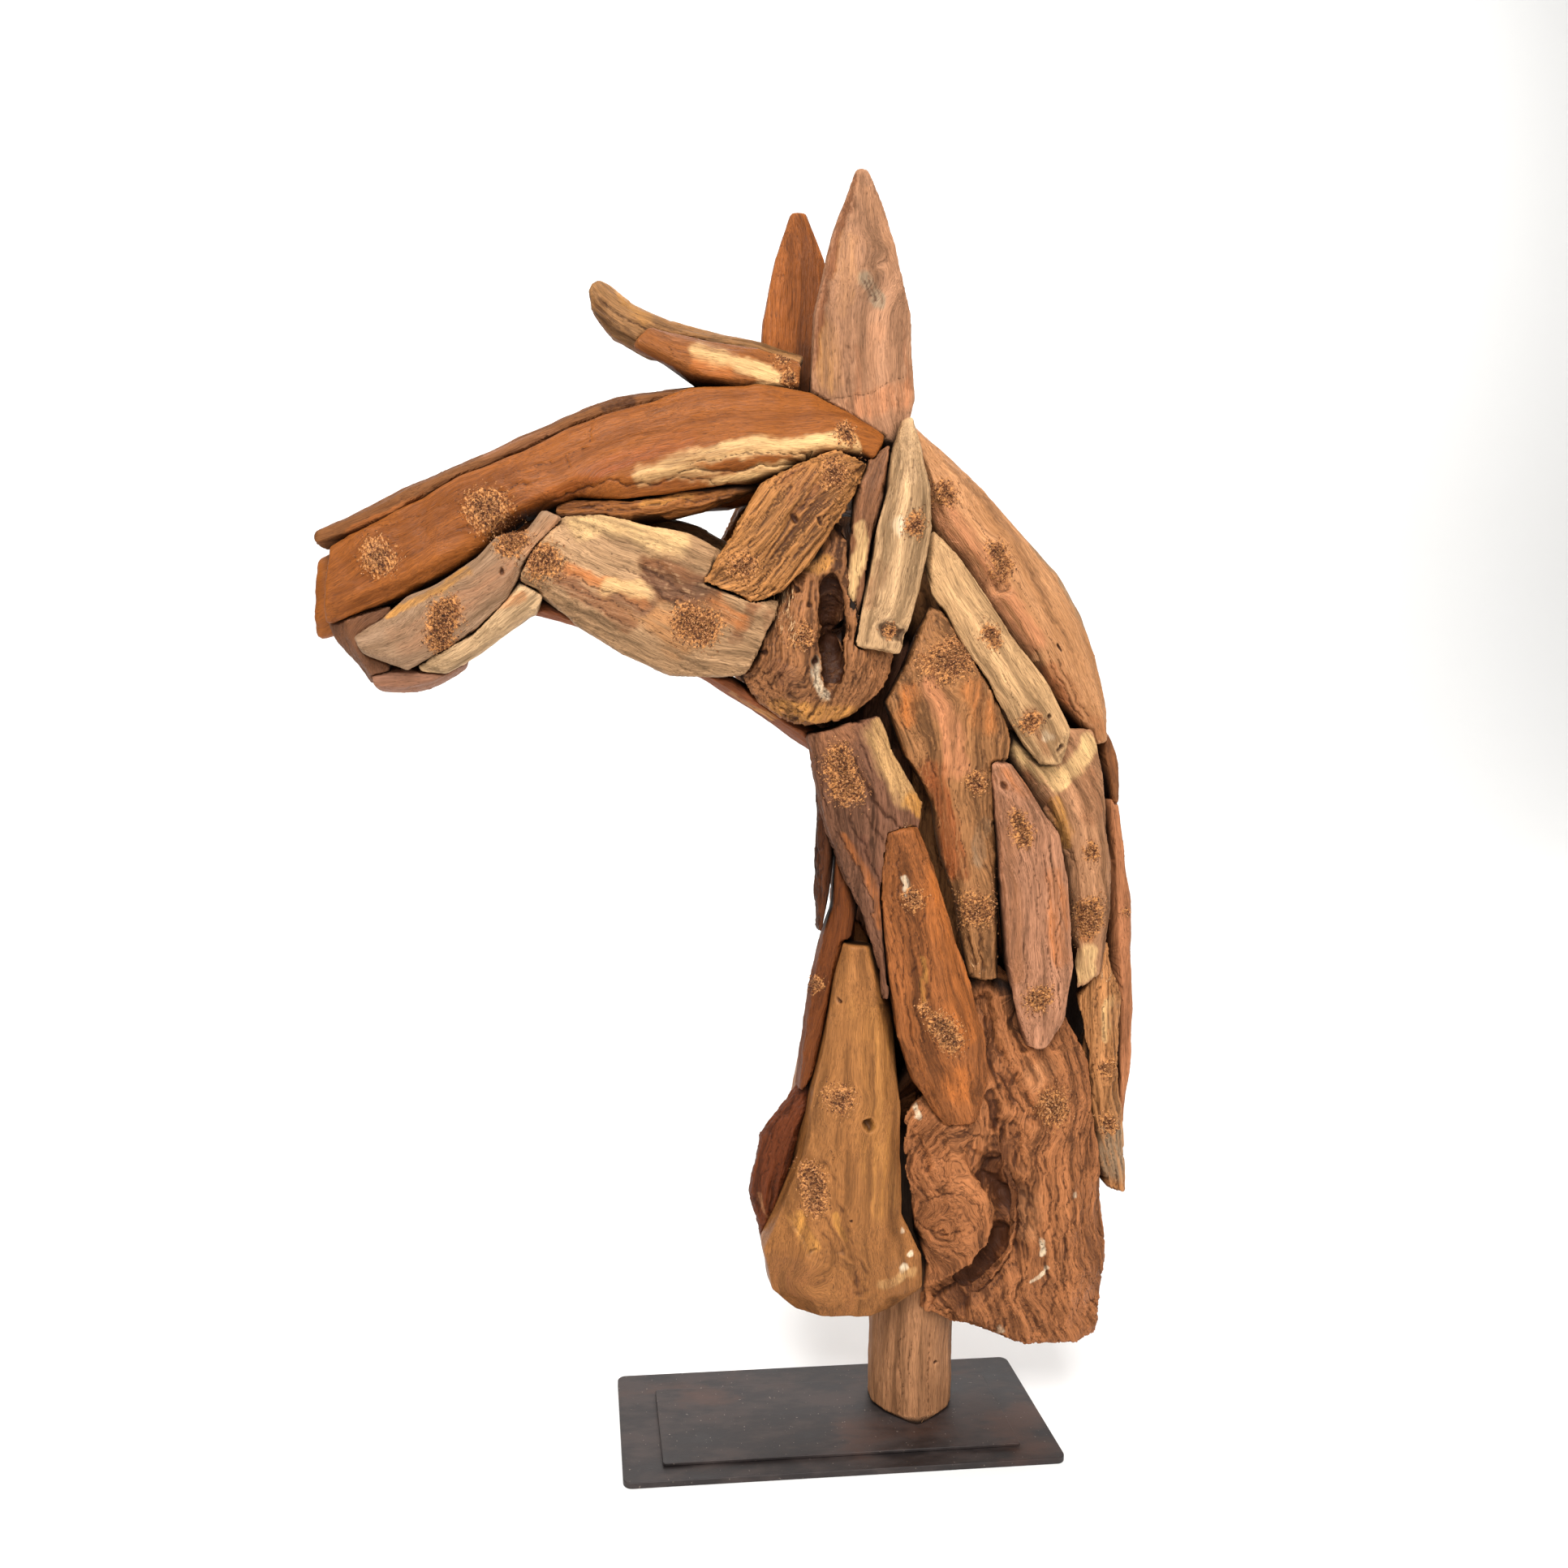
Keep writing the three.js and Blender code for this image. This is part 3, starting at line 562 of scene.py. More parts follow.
# what a wooden piece has where its own dictionary doesn't say otherwise; there "tones" are its
# dark, middle and light streaks
woodDefaults = {
    "voxel": 1.15,       # mm, the net that the relief is made on
    "keep": 0.5,         # share of its triangles that stay where they show
    "soften": 5,         # rounds of wear on the corners
    "dent": 4.0,         # mm, hewn unevenness
    "flute": 0.7,        # mm, depth of the long flutes
    "perMetre": 120,     # flutes in a metre across the grain
    "layer": 7.0,        # mm, depth of all the split layers
    "fibre": 1.1,        # mm, depth of the fibres
    "swirl": 9,          # mm, how far the grain wanders
    "swell": 0.7,        # mm, what the wear took is given back
    "streaks": 0.75,     # how strong the light and dark streaks are
    "bands": 0.35,       # broad darker and lighter bands, 0 to 1
    "lines": 0.3,        # growth lines
    "pores": 0.6,
    "grey": 0.0,         # weathered patches
    "gloss": 0.5,        # roughness of the surface
    "bump": 0.6,
    "rough": 0.0,        # chips all over, 0 to 1
    "marks": (),
    "whorls": (),
}

side = {"near": -1, "far": 1}

# how a piece is thinned where its neighbours hide it
hiddenLook = {
    "begin": 0.42,       # "shut" where the thinning begins
    "over": 0.12,        # and how much further it is full
    "keep": 0.1,         # share of the triangles that stay there
    "levels": 4,
    "favour": 6,         # how much sooner hidden triangles go
}

pegLook = {"rim": 0.9, "pit": 2.2}    # mm, sawdust heaped round a peg hole and its depth


# how far each point lies from a line of points, seen from the side
def awayFrom(points, line):
    best = np.full(len(points), 1e9)
    if len(line) == 1:
        return np.linalg.norm(points - line[0], axis=1)
    for start, end in zip(line, line[1:]):
        run = end - start
        share = np.clip((points - start) @ run / max(run @ run, 1e-12), 0, 1)
        best = np.minimum(best, np.linalg.norm(points - start - share[:, None] * run, axis=1))
    return best


def remeshed(node, voxel):
    copy = bpy.data.objects.new("copy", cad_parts[node].data.copy())
    scene.collection.objects.link(copy)
    build = bmesh.new()
    build.from_mesh(copy.data)
    bmesh.ops.remove_doubles(build, verts=build.verts, dist=1e-6)
    build.to_mesh(copy.data)
    build.free()
    net = copy.modifiers.new("net", "REMESH")
    net.mode = "VOXEL"
    net.voxel_size = voxel * mm
    made = madeOf(copy)
    bpy.data.objects.remove(copy)
    return made


def readField(source, key, width):
    values = np.empty(len(source) * width, np.float32)
    source.foreach_get(key, values)
    return values.reshape(-1, width).astype(float)


def addField(mesh, name, kind, values):
    field = mesh.attributes.new(name, kind, "POINT")
    key = {"FLOAT": "value", "FLOAT_VECTOR": "vector", "FLOAT_COLOR": "color"}[kind]
    field.data.foreach_set(key, np.asarray(values, np.float32).ravel())


# the piece's own directions: along its middle line, across it and into it
def runOf(flat, depth):
    centre = flat.mean(0)
    values, vectors = np.linalg.eigh(np.cov((flat - centre).T))
    axis = vectors[:, 1] * (1 if vectors[0, 1] + vectors[1, 1] > 0 else -1)
    along = (flat - centre) @ axis
    across = (flat - centre) @ np.array((-axis[1], axis[0]))
    bend = np.polyfit(along, across, 3)
    return np.column_stack((along, across - np.polyval(bend, along), depth)), axis


# ragged outlines: waves 60, 22 and 8 mm long push a flat place about
def raggedPlace(flat):
    moved = flat.copy()
    for length, push, phase in ((60, 2.2, 0.4), (22, 1.3, 2.1), (8, 0.6, 4.0)):
        wave = 2 * math.pi / (length * mm)
        x, z = flat[:, 0] * wave, flat[:, 1] * wave
        moved[:, 0] += push * mm * np.sin(z + 0.7 * x + phase) * np.cos(0.6 * x - phase)
        moved[:, 1] += push * mm * np.sin(x - 0.5 * z + phase) * np.cos(0.8 * z + phase)
    return moved


# A piece's "marks" are a kind and any number of marks of that kind. A mark is its reach in mm,
# how deep in mm or how strong it is, and its line of places: X and Z by turns, in thousandths
# of the piece's box, seen from the side. "whorls" are X and Z shares and a reach in mm.
def paintFields(mesh, look, facing):
    count = len(mesh.vertices)
    points = readField(mesh.vertices, "co", 3)
    outward = readField(mesh.vertex_normals, "vector", 3)[:, 1] * facing
    shown = np.clip((outward + 0.15) / 0.4, 0, 1)
    low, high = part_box(look["node"])
    flat = points[:, [0, 2]]    # X and Z
    run, axis = runOf(flat, points[:, 1])
    flat = raggedPlace(flat)
    corner, size = np.array((low.x, low.z)), np.array((high.x - low.x, high.z - low.z))
    cut, plug, fray = np.zeros((3, count))
    rough = np.full(count, look["rough"])
    stain = np.zeros((count, 4))
    stain[:, :3] = linear(look["tones"][1])[:3]

    for u, v, reach in look["whorls"]:
        centre = corner + size * (u, v)
        away = np.linalg.norm(flat - centre, axis=1)
        hold = 0.55 * np.exp(-(away / (reach * mm)) ** 2)
        turn = np.arctan2(flat[:, 1] - centre[1], flat[:, 0] - centre[0])
        run[:, 1] = run[:, 1] * (1 - hold) + away * 1.3 * hold
        run[:, 0] = run[:, 0] * (1 - hold) + turn * reach * mm * 0.5 * hold

    marks = [(kind, *mark) for kind, *group in look["marks"] for mark in group]
    for kind, reach, amount, *places in marks:
        line = corner + size * np.reshape(places, (-1, 2)) / 1000
        away = awayFrom(flat, line) / (reach * mm)
        soft = np.clip(1.35 - away, 0, 1) * shown
        if kind in ("plug", "hole"):
            middle = np.argmin(away)
            hold = np.exp(-(away / 1.7) ** 2)
            run[:, 1] -= (run[:, 1] - run[middle, 1]) * 0.45 * hold
        if kind == "groove":
            cut += amount * mm * np.exp(-away * 1.5) * shown
        elif kind == "hollow":
            cut += amount * mm * np.clip(1.2 - away ** 2 * 0.8, 0, 1) ** 1.5 * shown
        elif kind == "hole":
            cut += amount * mm * np.clip(1.5 - away, 0, 1) * shown
        elif kind == "plug":
            away = away * (1 + 0.24 * np.sin(flat[:, 0] * 900) * np.sin(flat[:, 1] * 870))
            plug = np.maximum(plug, amount * np.clip(1.3 - away, 0, 1) ** 0.8 * shown)
            rough = np.maximum(rough, plug)
            cut -= pegLook["rim"] * mm * np.clip(1 - away, 0, 1) * shown
            cut += pegLook["pit"] * mm * np.clip(1 - away * 3.2, 0, 1) * shown
        elif kind == "rough":
            rough = np.maximum(rough, amount * soft)
        elif kind == "fray":
            fray = np.maximum(fray, amount * np.clip(1.3 - away, 0, 1))
        tone = "dark" if kind in ("hole", "plug") else kind
        if tone in stains:
            reachOut = {"hole": 1.6 - away, "plug": 0.8 - away * 2.2}.get(kind, soft * 1.3)
            strength = (np.clip(reachOut, 0, 1) * shown)[:, None]
            strength = strength * (1 if kind in ("hole", "plug") else amount)
            kept = stain[:, 3:] * (1 - strength)
            whole = kept + strength
            mixed = stain[:, :3] * kept + np.array(linear(stains[tone])[:3]) * strength
            stain[:, :3] = np.where(whole > 0.01, mixed / np.maximum(whole, 0.01), stain[:, :3])
            stain[:, 3:] = whole

    addField(mesh, "run", "FLOAT_VECTOR", run)
    for name, values in (("cut", cut), ("rough", rough), ("plug", plug), ("fray", fray)):
        addField(mesh, name, "FLOAT", values)
    addField(mesh, "stain", "FLOAT_COLOR", stain)
    return plug.max() > 0.2, fray.max() > 0.2, axis


# thins the mesh where its neighbours hide it, and a little everywhere else
def thinned(holder, keep):
    shut = readField(holder.data.attributes["shut"].data, "value", 1)[:, 0]
    hidden = np.clip((shut - hiddenLook["begin"]) / hiddenLook["over"], 0, 1)
    group = holder.vertex_groups.new(name="hidden")
    levels = hiddenLook["levels"]
    for level in range(1, levels + 1):
        chosen = np.nonzero(np.round(hidden * levels) == level)[0]
        group.add([int(i) for i in chosen], level / levels, "REPLACE")
    share = hidden.mean()
    fewer = holder.modifiers.new("fewer", "DECIMATE")
    fewer.ratio = keep * (1 - share) + hiddenLook["keep"] * share
    fewer.vertex_group = "hidden"
    fewer.vertex_group_factor = hiddenLook["favour"]
    made = madeOf(holder)
    holder.modifiers.remove(fewer)
    return made


dustLook = {
    "finish": "teak sawdust, loose",
    "specks": 560.0,     # in a metre
    "ramp": ((0.38, "3c2010"), (0.51, "8c5329"), (0.64, "cc935f")),
    "roughness": 0.85,
    "perSquareMetre": 1500000,
    "smallest": 0.7,     # mm
    "largest": 2.2,      # mm
    "slimness": 0.62,
    "tumble": 8.0,
}

frayLook = {
    "finish": "teak fibres, raw",
    "specks": 330.0,     # in a metre
    "ramp": ((0.4, "8a5a33"), (0.6, "d8ad7c")),
    "roughness": 0.8,
    "perSquareMetre": 160000,
    "smallest": 3.0,     # mm
    "largest": 9.0,      # mm
    "slimness": 0.16,
    "tumble": 0.35,
}

loose = {"plug": [], "fray": []}
looseLook = {"plug": (dustLook, looseTeak(dustLook)), "fray": (frayLook, looseTeak(frayLook))}


# scatters slivers on a carved piece where one of its fields is high
def scatter(holder, field, lie, seed):
    look, material = looseLook[field]
    loose[field].append(meshThrough(holder, slivers, {
        "Field": field,
        "Per Square Metre": float(look["perSquareMetre"]),
        "Smallest": look["smallest"] * mm,
        "Largest": look["largest"] * mm,
        "Slimness": look["slimness"],
        "Lie": lie,
        "Tumble": look["tumble"],
        "Seed": seed,
        "Material": material,
    }))


def carve(look, facing="near"):
    look = {**woodDefaults, **look}
    node = look["node"]
    seed = (sum(ord(letter) * (i + 3) for i, letter in enumerate(node)) % 997) / 97
    mesh = remeshed(node, look["voxel"])
    dusty, frayed, axis = paintFields(mesh, look, side[facing])
    holder = bpy.data.objects.new("holder", mesh)
    scene.collection.objects.link(holder)
    others = joined("surroundings", [solid.data for name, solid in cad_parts.items()
                                     if name != node])    # what the feelers touch
    holder.data = meshThrough(holder, relief, {
        "Soften": look["soften"],
        "Dent Depth": look["dent"] * mm,
        "Flute Depth": look["flute"] * mm,
        "Flute Pitch": pitch(reliefLook["flutes"], 1000 / look["perMetre"]),
        "Layer Depth": look["layer"] * mm,
        "Fibre Depth": look["fibre"] * mm,
        "Chip Depth": reliefLook["chipDepth"] * mm,
        "Swirl": look["swirl"] * mm,
        "Swell": look["swell"] * mm,
        "Reach": reliefLook["feelerReach"] * mm,
        "Surroundings": others,
        "Seed": seed,
        "Material": teak(look),
    })
    bpy.data.objects.remove(others)
    made = thinned(holder, look["keep"])
    for name in ("run", "cut", "rough"):
        made.attributes.remove(made.attributes[name])
    words = node.split("_")
    name = words[0] + ("".join(word.title() for word in words[1:]) or "Wood")
    piece = bpy.data.objects.new(name, made)
    made.name = piece.name
    scene.collection.objects.link(piece)
    holder.vertex_groups.clear()
    holder.data = made
    if dusty:
        scatter(holder, "plug", (0, 0, 0), int(seed * 97))
    if frayed:
        scatter(holder, "fray", (axis[0], 0, axis[1]), int(seed * 97))
    bpy.data.objects.remove(holder)
    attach(piece, "root")
    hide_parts(node)


browPlank = {
    "node": "brow_plank", "slot": "orange_teak",
    "tones": ("683610", "8d4f1e", "945521"),
    "layer": 2.6, "streaks": 0.5, "fibre": 0.2, "soften": 7, "dent": 5, "flute": 0.18,
    "bands": 0.6, "lines": 0.35, "gloss": 0.47, "bump": 0.35, "swirl": 12,
    "whorls": [(0.429, 0.536, 15.6)],
    "marks": [
        ("plug", (14.5, 1, 99, 266), (16.8, 1, 283, 469), (9.1, 1, 925, 788)),
        ("dark", (7.3, 0.6, 925, 788)),
        ("pale", (6.6, 0.9, 561, 614, 616, 666, 687, 711, 774, 740, 861, 757, 935, 758),
         (5.4, 0.8, 616, 618, 718, 610, 791, 645, 864, 696)),
        ("brown", (10.4, 0.3, 28, 334, 21, 225, 26, 86)),
        ("dark", (6, 0.85, 303, 391, 322, 415), (4.9, 0.5, 414, 507, 458, 531)),
        ("red", (8.4, 0.4, 343, 433, 430, 566, 515, 666, 644, 770)),
        ("dark", (3.6, 0.35, 573, 869, 659, 922, 746, 948)),
        ("groove", (0.99, 1.76, 644, 660, 716, 698, 788, 714, 863, 714),
         (0.99, 1.92, 623, 625, 717, 645, 805, 665, 864, 696),
         (1.12, 1.76, 429, 542, 515, 582, 616, 599, 719, 598),
         (0.74, 0.96, 477, 845, 469, 800, 461, 748), (0.74, 1.12, 437, 647, 430, 697, 458, 725),
         (0.87, 1.44, 304, 522, 337, 549, 365, 570), (1.12, 1.92, 364, 448, 401, 511, 429, 542),
         (0.74, 0.96, 71, 378, 173, 454, 287, 568, 401, 664),
         (0.74, 0.8, 230, 378, 272, 402, 301, 412)),
        ("hollow", (6.6, 3, 303, 391, 343, 433)),
    ],
}

lipPiece = {
    "node": "lip_piece", "slot": "grey_teak",
    "tones": ("705339", "98775a", "a48265"),
    "layer": 2.4, "streaks": 0.5, "fibre": 0.5, "flute": 0.25, "perMetre": 160, "bands": 0.3,
    "lines": 0.2, "gloss": 0.62,
    "marks": [
        ("plug", (12.4, 1, 770, 790), (11.9, 1, 440, 360, 420, 210)),
        ("hole", (1.5, 3, 710, 630)),
        ("mauve", (13, 0.5, 250, 180, 490, 380, 720, 620)),
        ("golden", (3.6, 0.9, 180, 350, 370, 480, 560, 610)),
        ("rose", (8.2, 0.5, 860, 790, 950, 920)),
    ],
}

cheekBlock = {
    "node": "cheek_block", "slot": "pale_teak",
    "tones": ("503922", "9d7854", "c2976d"),
    "layer": 4.5, "streaks": 0.7, "fibre": 0.7, "flute": 0.5, "perMetre": 110, "bands": 0.5,
    "lines": 0.5, "gloss": 0.55,
    "marks": [
        ("plug", (15.3, 1, 105, 700), (14.1, 1, 632, 350, 704, 300)),
        ("purple", (8.8, 0.95, 549, 560, 616, 570, 715, 530)),
        ("brown", (14.1, 0.75, 530, 670, 610, 590, 678, 500)),
        ("tan", (12.9, 0.6, 372, 490, 494, 420, 602, 220)),
        ("brown", (7, 0.7, 159, 590, 280, 480, 417, 320)),
        ("pale", (13, 0.85, 251, 960, 404, 940, 587, 850)),
        ("tan", (5.9, 0.6, 191, 1040, 312, 1080)),
        ("purple", (5.9, 0.85, 494, 610, 586, 540, 684, 530)),
        ("brown", (5.3, 0.6, 905, 480, 820, 230)),
        ("purple", (5.3, 0.7, 518, 550, 463, 420, 372, 490)),
        ("orange", (4.7, 0.6, 189, 660, 326, 590, 463, 460)),
        ("pale", (5.3, 0.8, 347, 560, 478, 510)),
        ("orange", (8.2, 0.6, 756, 440, 819, 350)),
        ("brown", (6.5, 0.45, 954, 380, 976, 230)),
        ("dark", (4.1, 0.6, 684, 550, 740, 500)),
        ("groove", (0.68, 0.88, 160, 820, 208, 860, 275, 890, 342, 870, 418, 870),
         (0.56, 0.72, 326, 880, 341, 760, 378, 650), (0.56, 0.72, 418, 870, 494, 830, 561, 770),
         (1.43, 1.2, 402, 670, 494, 560, 601, 460), (1.43, 1.12, 463, 690, 561, 610, 647, 500),
         (0.93, 1.44, 159, 640, 311, 560, 463, 410), (0.87, 1.28, 189, 560, 341, 460, 479, 330),
         (0.81, 1.12, 237, 470, 402, 330, 540, 250)),
        ("hollow", (10, 3.2, 512, 670, 586, 500)),
        ("rough", (8.2, 0.6, 524, 640, 601, 550, 678, 470)),
    ],
}

chinPiece = {
    "node": "chin_piece", "slot": "pale_teak",
    "tones": ("60492f", "bb976e", "e7bd8d"),
    "layer": 3, "streaks": 0.6, "fibre": 0.6, "flute": 0.4,
    "marks": [
        ("orange", (5.4, 0.7, 810, 820, 650, 740)),
    ],
}

cheekPlank = {
    "node": "cheek_plank", "slot": "golden_teak",
    "tones": ("533215", "a36c3a", "c9884c"),
    "layer": 8, "streaks": 0.9, "fibre": 1.3, "flute": 1.5, "perMetre": 190, "lines": 0.7,
    "bands": 0.4, "soften": 3, "swirl": 5,
    "marks": [
        ("plug", (10.6, 1, 230, 230), (12, 1, 770, 840)),
        ("brown", (17.8, 0.55, 560, 790, 640, 620)),
        ("hole", (3, 3, 540, 540), (2, 2, 700, 540)),
        ("groove", (0.93, 1.6, 440, 690, 300, 450, 180, 220),
         (0.93, 1.6, 640, 540, 490, 330, 330, 120), (0.87, 1.44, 790, 650, 640, 440, 470, 220)),
    ],
}

jowl = {
    "node": "jowl", "slot": "golden_teak",
    "tones": ("452813", "895935", "aa7146"),
    "layer": 9, "streaks": 0.9, "fibre": 1.3, "flute": 1.2, "perMetre": 140, "rough": 0.45,
    "dent": 7, "swirl": 20, "lines": 0.5,
    "whorls": [(0.3, 0.168, 20.3)],
    "marks": [
        ("dark", (10.3, 0.95, 550, 637, 590, 463, 590, 240)),
        ("plug", (10.1, 1, 360, 405)),
        ("grey", (4.2, 0.9, 450, 782, 360, 697, 220, 576)),
        ("bone", (3.6, 0.9, 450, 285, 480, 205, 530, 123)),
        ("hole", (6.7, 6, 660, 891)),
        ("dark", (7.3, 0.85, 660, 880)),
        ("hole", (2.4, 4, 450, 289)),
        ("golden", (9, 0.6, 240, 91, 450, 37, 700, 50), (6, 0.6, 450, 714, 530, 751)),
        ("purple", (8.3, 0.5, 190, 277, 300, 204)),
        ("hole", (2.4, 3, 350, 605), (1.8, 3, 420, 551), (1.8, 3, 120, 350)),
        ("groove", (0.87, 1.28, 300, 642, 220, 459, 170, 240),
         (0.87, 1.28, 400, 659, 350, 496, 290, 278)),
        ("hollow", (7.9, 7, 550, 637, 590, 463, 590, 240)),
        ("fray", (5.4, 0.8, 280, 587, 230, 459, 350, 351)),
    ],
}

templeBlade = {
    "node": "temple_blade", "slot": "brown_teak",
    "tones": ("402614", "805437", "9f6b48"),
    "layer": 6, "streaks": 0.8, "fibre": 0.9, "flute": 0.8,
    "marks": [
        ("pale", (5.4, 0.7, 330, 602, 230, 409, 160, 273)),
    ],
}

cheekStick = {
    "node": "cheek_stick", "slot": "pale_teak",
    "tones": ("60472c", "ba9369", "e5b887"),
    "layer": 3.2, "streaks": 0.6, "fibre": 0.6, "flute": 0.4, "dent": 4, "lines": 0.35,
    "marks": [
        ("plug", (9, 1, 750, 554)),
        ("bone", (6.6, 0.55, 510, 540)),
        ("dark", (8.4, 0.85, 400, 101, 620, 67)),
        ("plug", (7.2, 0.8, 460, 87)),
        ("mauve", (6, 0.6, 290, 363, 200, 208)),
        ("groove", (0.74, 0.96, 720, 842, 650, 703, 740, 602), (0.68, 0.8, 690, 466, 680, 329)),
        ("hollow", (6, 3, 400, 94, 590, 67)),
    ],
}

manePlank = {
    "node": "mane_plank", "slot": "orange_teak",
    "tones": ("9a683e", "b58055", "cd9364"),
    "layer": 2.4, "streaks": 0.55, "fibre": 0.35, "flute": 0.3, "perMetre": 90, "bands": 0.7,
    "lines": 0.6, "gloss": 0.48, "soften": 7, "swirl": 7,
    "whorls": [(0.412, 0.506, 10.1)],
    "marks": [
        ("pink", (10.8, 0.85, 134, 737, 280, 606, 439, 440, 567, 329)),
        ("plug", (10.1, 1, 140, 791), (10.1, 1, 391, 611, 408, 561)),
        ("rose", (5.7, 0.8, 406, 506)),
        ("hole", (1.5, 3, 708, 311)),
        ("red", (10.4, 0.7, 663, 231, 792, 123, 901, 49)),
        ("grey", (3.2, 0.6, 585, 634, 743, 510, 849, 387)),
        ("dark", (2.6, 0.4, 253, 839, 446, 689, 621, 487, 770, 309),
         (1.9, 0.4, 150, 887, 346, 751, 539, 562, 684, 385)),
        ("groove", (1.05, 1.76, 582, 295, 675, 192, 795, 87),
         (1.05, 1.6, 630, 296, 719, 206, 835, 89), (0.93, 1.44, 682, 278, 770, 185, 870, 102),
         (0.81, 0.96, 129, 836, 360, 661, 541, 461, 688, 309)),
        ("hollow", (6.3, 3, 412, 506)),
    ],
}

neckPaleStrip = {
    "node": "neck_pale_strip", "slot": "pale_teak",
    "tones": ("5d4328", "b58c60", "dfb07c"),
    "layer": 3, "streaks": 0.6, "fibre": 0.6, "flute": 0.4, "dent": 4, "lines": 0.4,
    "marks": [
        ("plug", (9.9, 1, 420, 550), (8.8, 1, 710, 182)),
        ("brown", (9.4, 0.6, 720, 217, 840, 84)),
        ("bone", (3.8, 0.7, 820, 130)),
        ("hole", (1.6, 3, 830, 211), (1.6, 3, 900, 77)),
        ("groove", (0.74, 0.96, 390, 598, 430, 650, 410, 598),
         (0.74, 1.12, 510, 391, 620, 287, 670, 217)),
    ],
}

neckWidePiece = {
    "node": "neck_wide_piece", "slot": "red_teak",
    "tones": ("4a2e16", "93633b", "b67d4d"),
    "layer": 6, "streaks": 0.7, "fibre": 0.8, "flute": 0.8, "perMetre": 120, "swirl": 18,
    "lines": 0.45, "bands": 0.4,
    "whorls": [(0.51, 0.807, 24.7)],
    "marks": [
        ("plug", (17.3, 1, 410, 860, 540, 871)),
        ("pink", (10.5, 0.75, 350, 789, 480, 689, 550, 581)),
        ("orange", (8.6, 0.6, 170, 774, 130, 710)),
        ("plug", (9.3, 1, 710, 544)),
        ("grey", (6.9, 0.45, 780, 428, 750, 329)),
        ("plug", (15.2, 1, 750, 191)),
        ("red", (9.3, 0.75, 360, 570, 470, 439, 570, 295)),
        ("orange", (12.4, 0.5, 670, 785, 770, 700)),
        ("groove", (2.36, 3.2, 670, 104, 730, 42), (1.61, 2.4, 780, 128, 780, 26),
         (0.74, 1.28, 500, 548, 580, 439, 640, 307), (0.93, 1.28, 100, 699, 290, 624, 420, 548)),
        ("fray", (3.2, 0.7, 640, 39, 780, 26)),
    ],
}

throatBranch = {
    "node": "throat_branch", "slot": "grey_teak",
    "tones": ("341e10", "6a4530", "845840"),
    "layer": 6, "streaks": 0.8, "fibre": 0.8, "flute": 0.9, "perMetre": 120, "lines": 0.4,
    "bands": 0.5, "gloss": 0.6,
    "marks": [
        ("mauve", (13.4, 0.7, 90, 916, 280, 937)),
        ("plug", (12.8, 1, 250, 845, 320, 743)),
        ("sand", (12.3, 0.85, 590, 945, 720, 838, 870, 739)),
        ("golden", (6.2, 0.9, 870, 712, 970, 665), (3.1, 0.9, 870, 614, 940, 586)),
        ("orange", (3.7, 0.6, 290, 592, 500, 433, 640, 275)),
        ("purple", (7.4, 0.5, 430, 561, 610, 419)),
        ("groove", (1.92, 3.2, 400, 854, 470, 757, 640, 659, 800, 611),
         (1.18, 2.08, 320, 659, 500, 532, 620, 390, 720, 202),
         (1.18, 1.92, 220, 614, 420, 460, 570, 304, 670, 128),
         (0.99, 1.6, 420, 673, 600, 589, 780, 487), (0.99, 1.6, 50, 851, 120, 726, 190, 642)),
        ("fray", (3.1, 0.8, 850, 629, 920, 586)),
    ],
}

neckRedPlank = {
    "node": "neck_red_plank", "slot": "red_teak",
    "tones": ("47250c", "8d5228", "af6836"),
    "layer": 5, "streaks": 0.6, "fibre": 0.9, "flute": 0.6, "perMetre": 130, "lines": 0.55,
    "bands": 0.5,
    "marks": [
        ("bone", (2.8, 0.95, 180, 836, 210, 805, 230, 784)),
        ("plug", (8.6, 1, 270, 779)),
        ("orange", (12.5, 0.65, 450, 819, 640, 579, 750, 339)),
        ("plug", (11.4, 1, 530, 361, 610, 311)),
        ("bone", (4.4, 0.6, 590, 333)),
        ("plug", (5.7, 0.8, 410, 415)),
        ("orange", (15.5, 0.8, 700, 155)),
        ("golden", (2.5, 0.6, 340, 583, 390, 421)),
        ("groove", (1.05, 1.6, 140, 951, 150, 742, 190, 527, 280, 280),
         (1.05, 1.6, 220, 716, 270, 529, 370, 283), (0.93, 1.28, 290, 664, 370, 448, 480, 255),
         (0.99, 1.44, 360, 898, 370, 664, 430, 448), (0.87, 1.12, 80, 898, 100, 661, 160, 444)),
    ],
}

neckPinkBoard = {
    "node": "neck_pink_board", "slot": "pink_teak",
    "tones": ("563722", "a87455", "cf926e"),
    "layer": 4, "streaks": 0.5, "fibre": 0.8, "flute": 0.45, "perMetre": 140, "lines": 0.5,
    "gloss": 0.6,
    "marks": [
        ("mauve", (10.7, 0.7, 130, 835, 200, 555, 320, 269)),
        ("plug", (8.8, 1, 280, 803, 370, 739), (12.3, 1, 600, 183)),
        ("hole", (2.5, 3, 160, 921)),
        ("orange", (8.9, 0.55, 730, 612, 840, 327), (8.1, 0.5, 150, 959, 370, 904)),
        ("groove", (0.93, 1.6, 680, 724, 760, 555, 810, 413, 780, 270, 860, 137),
         (0.87, 1.28, 490, 683, 560, 471), (0.87, 1.28, 610, 696, 650, 499),
         (0.87, 1.12, 400, 387, 460, 228), (0.87, 1.28, 670, 371, 710, 241),
         (0.87, 1.28, 300, 739, 340, 613)),
    ],
}

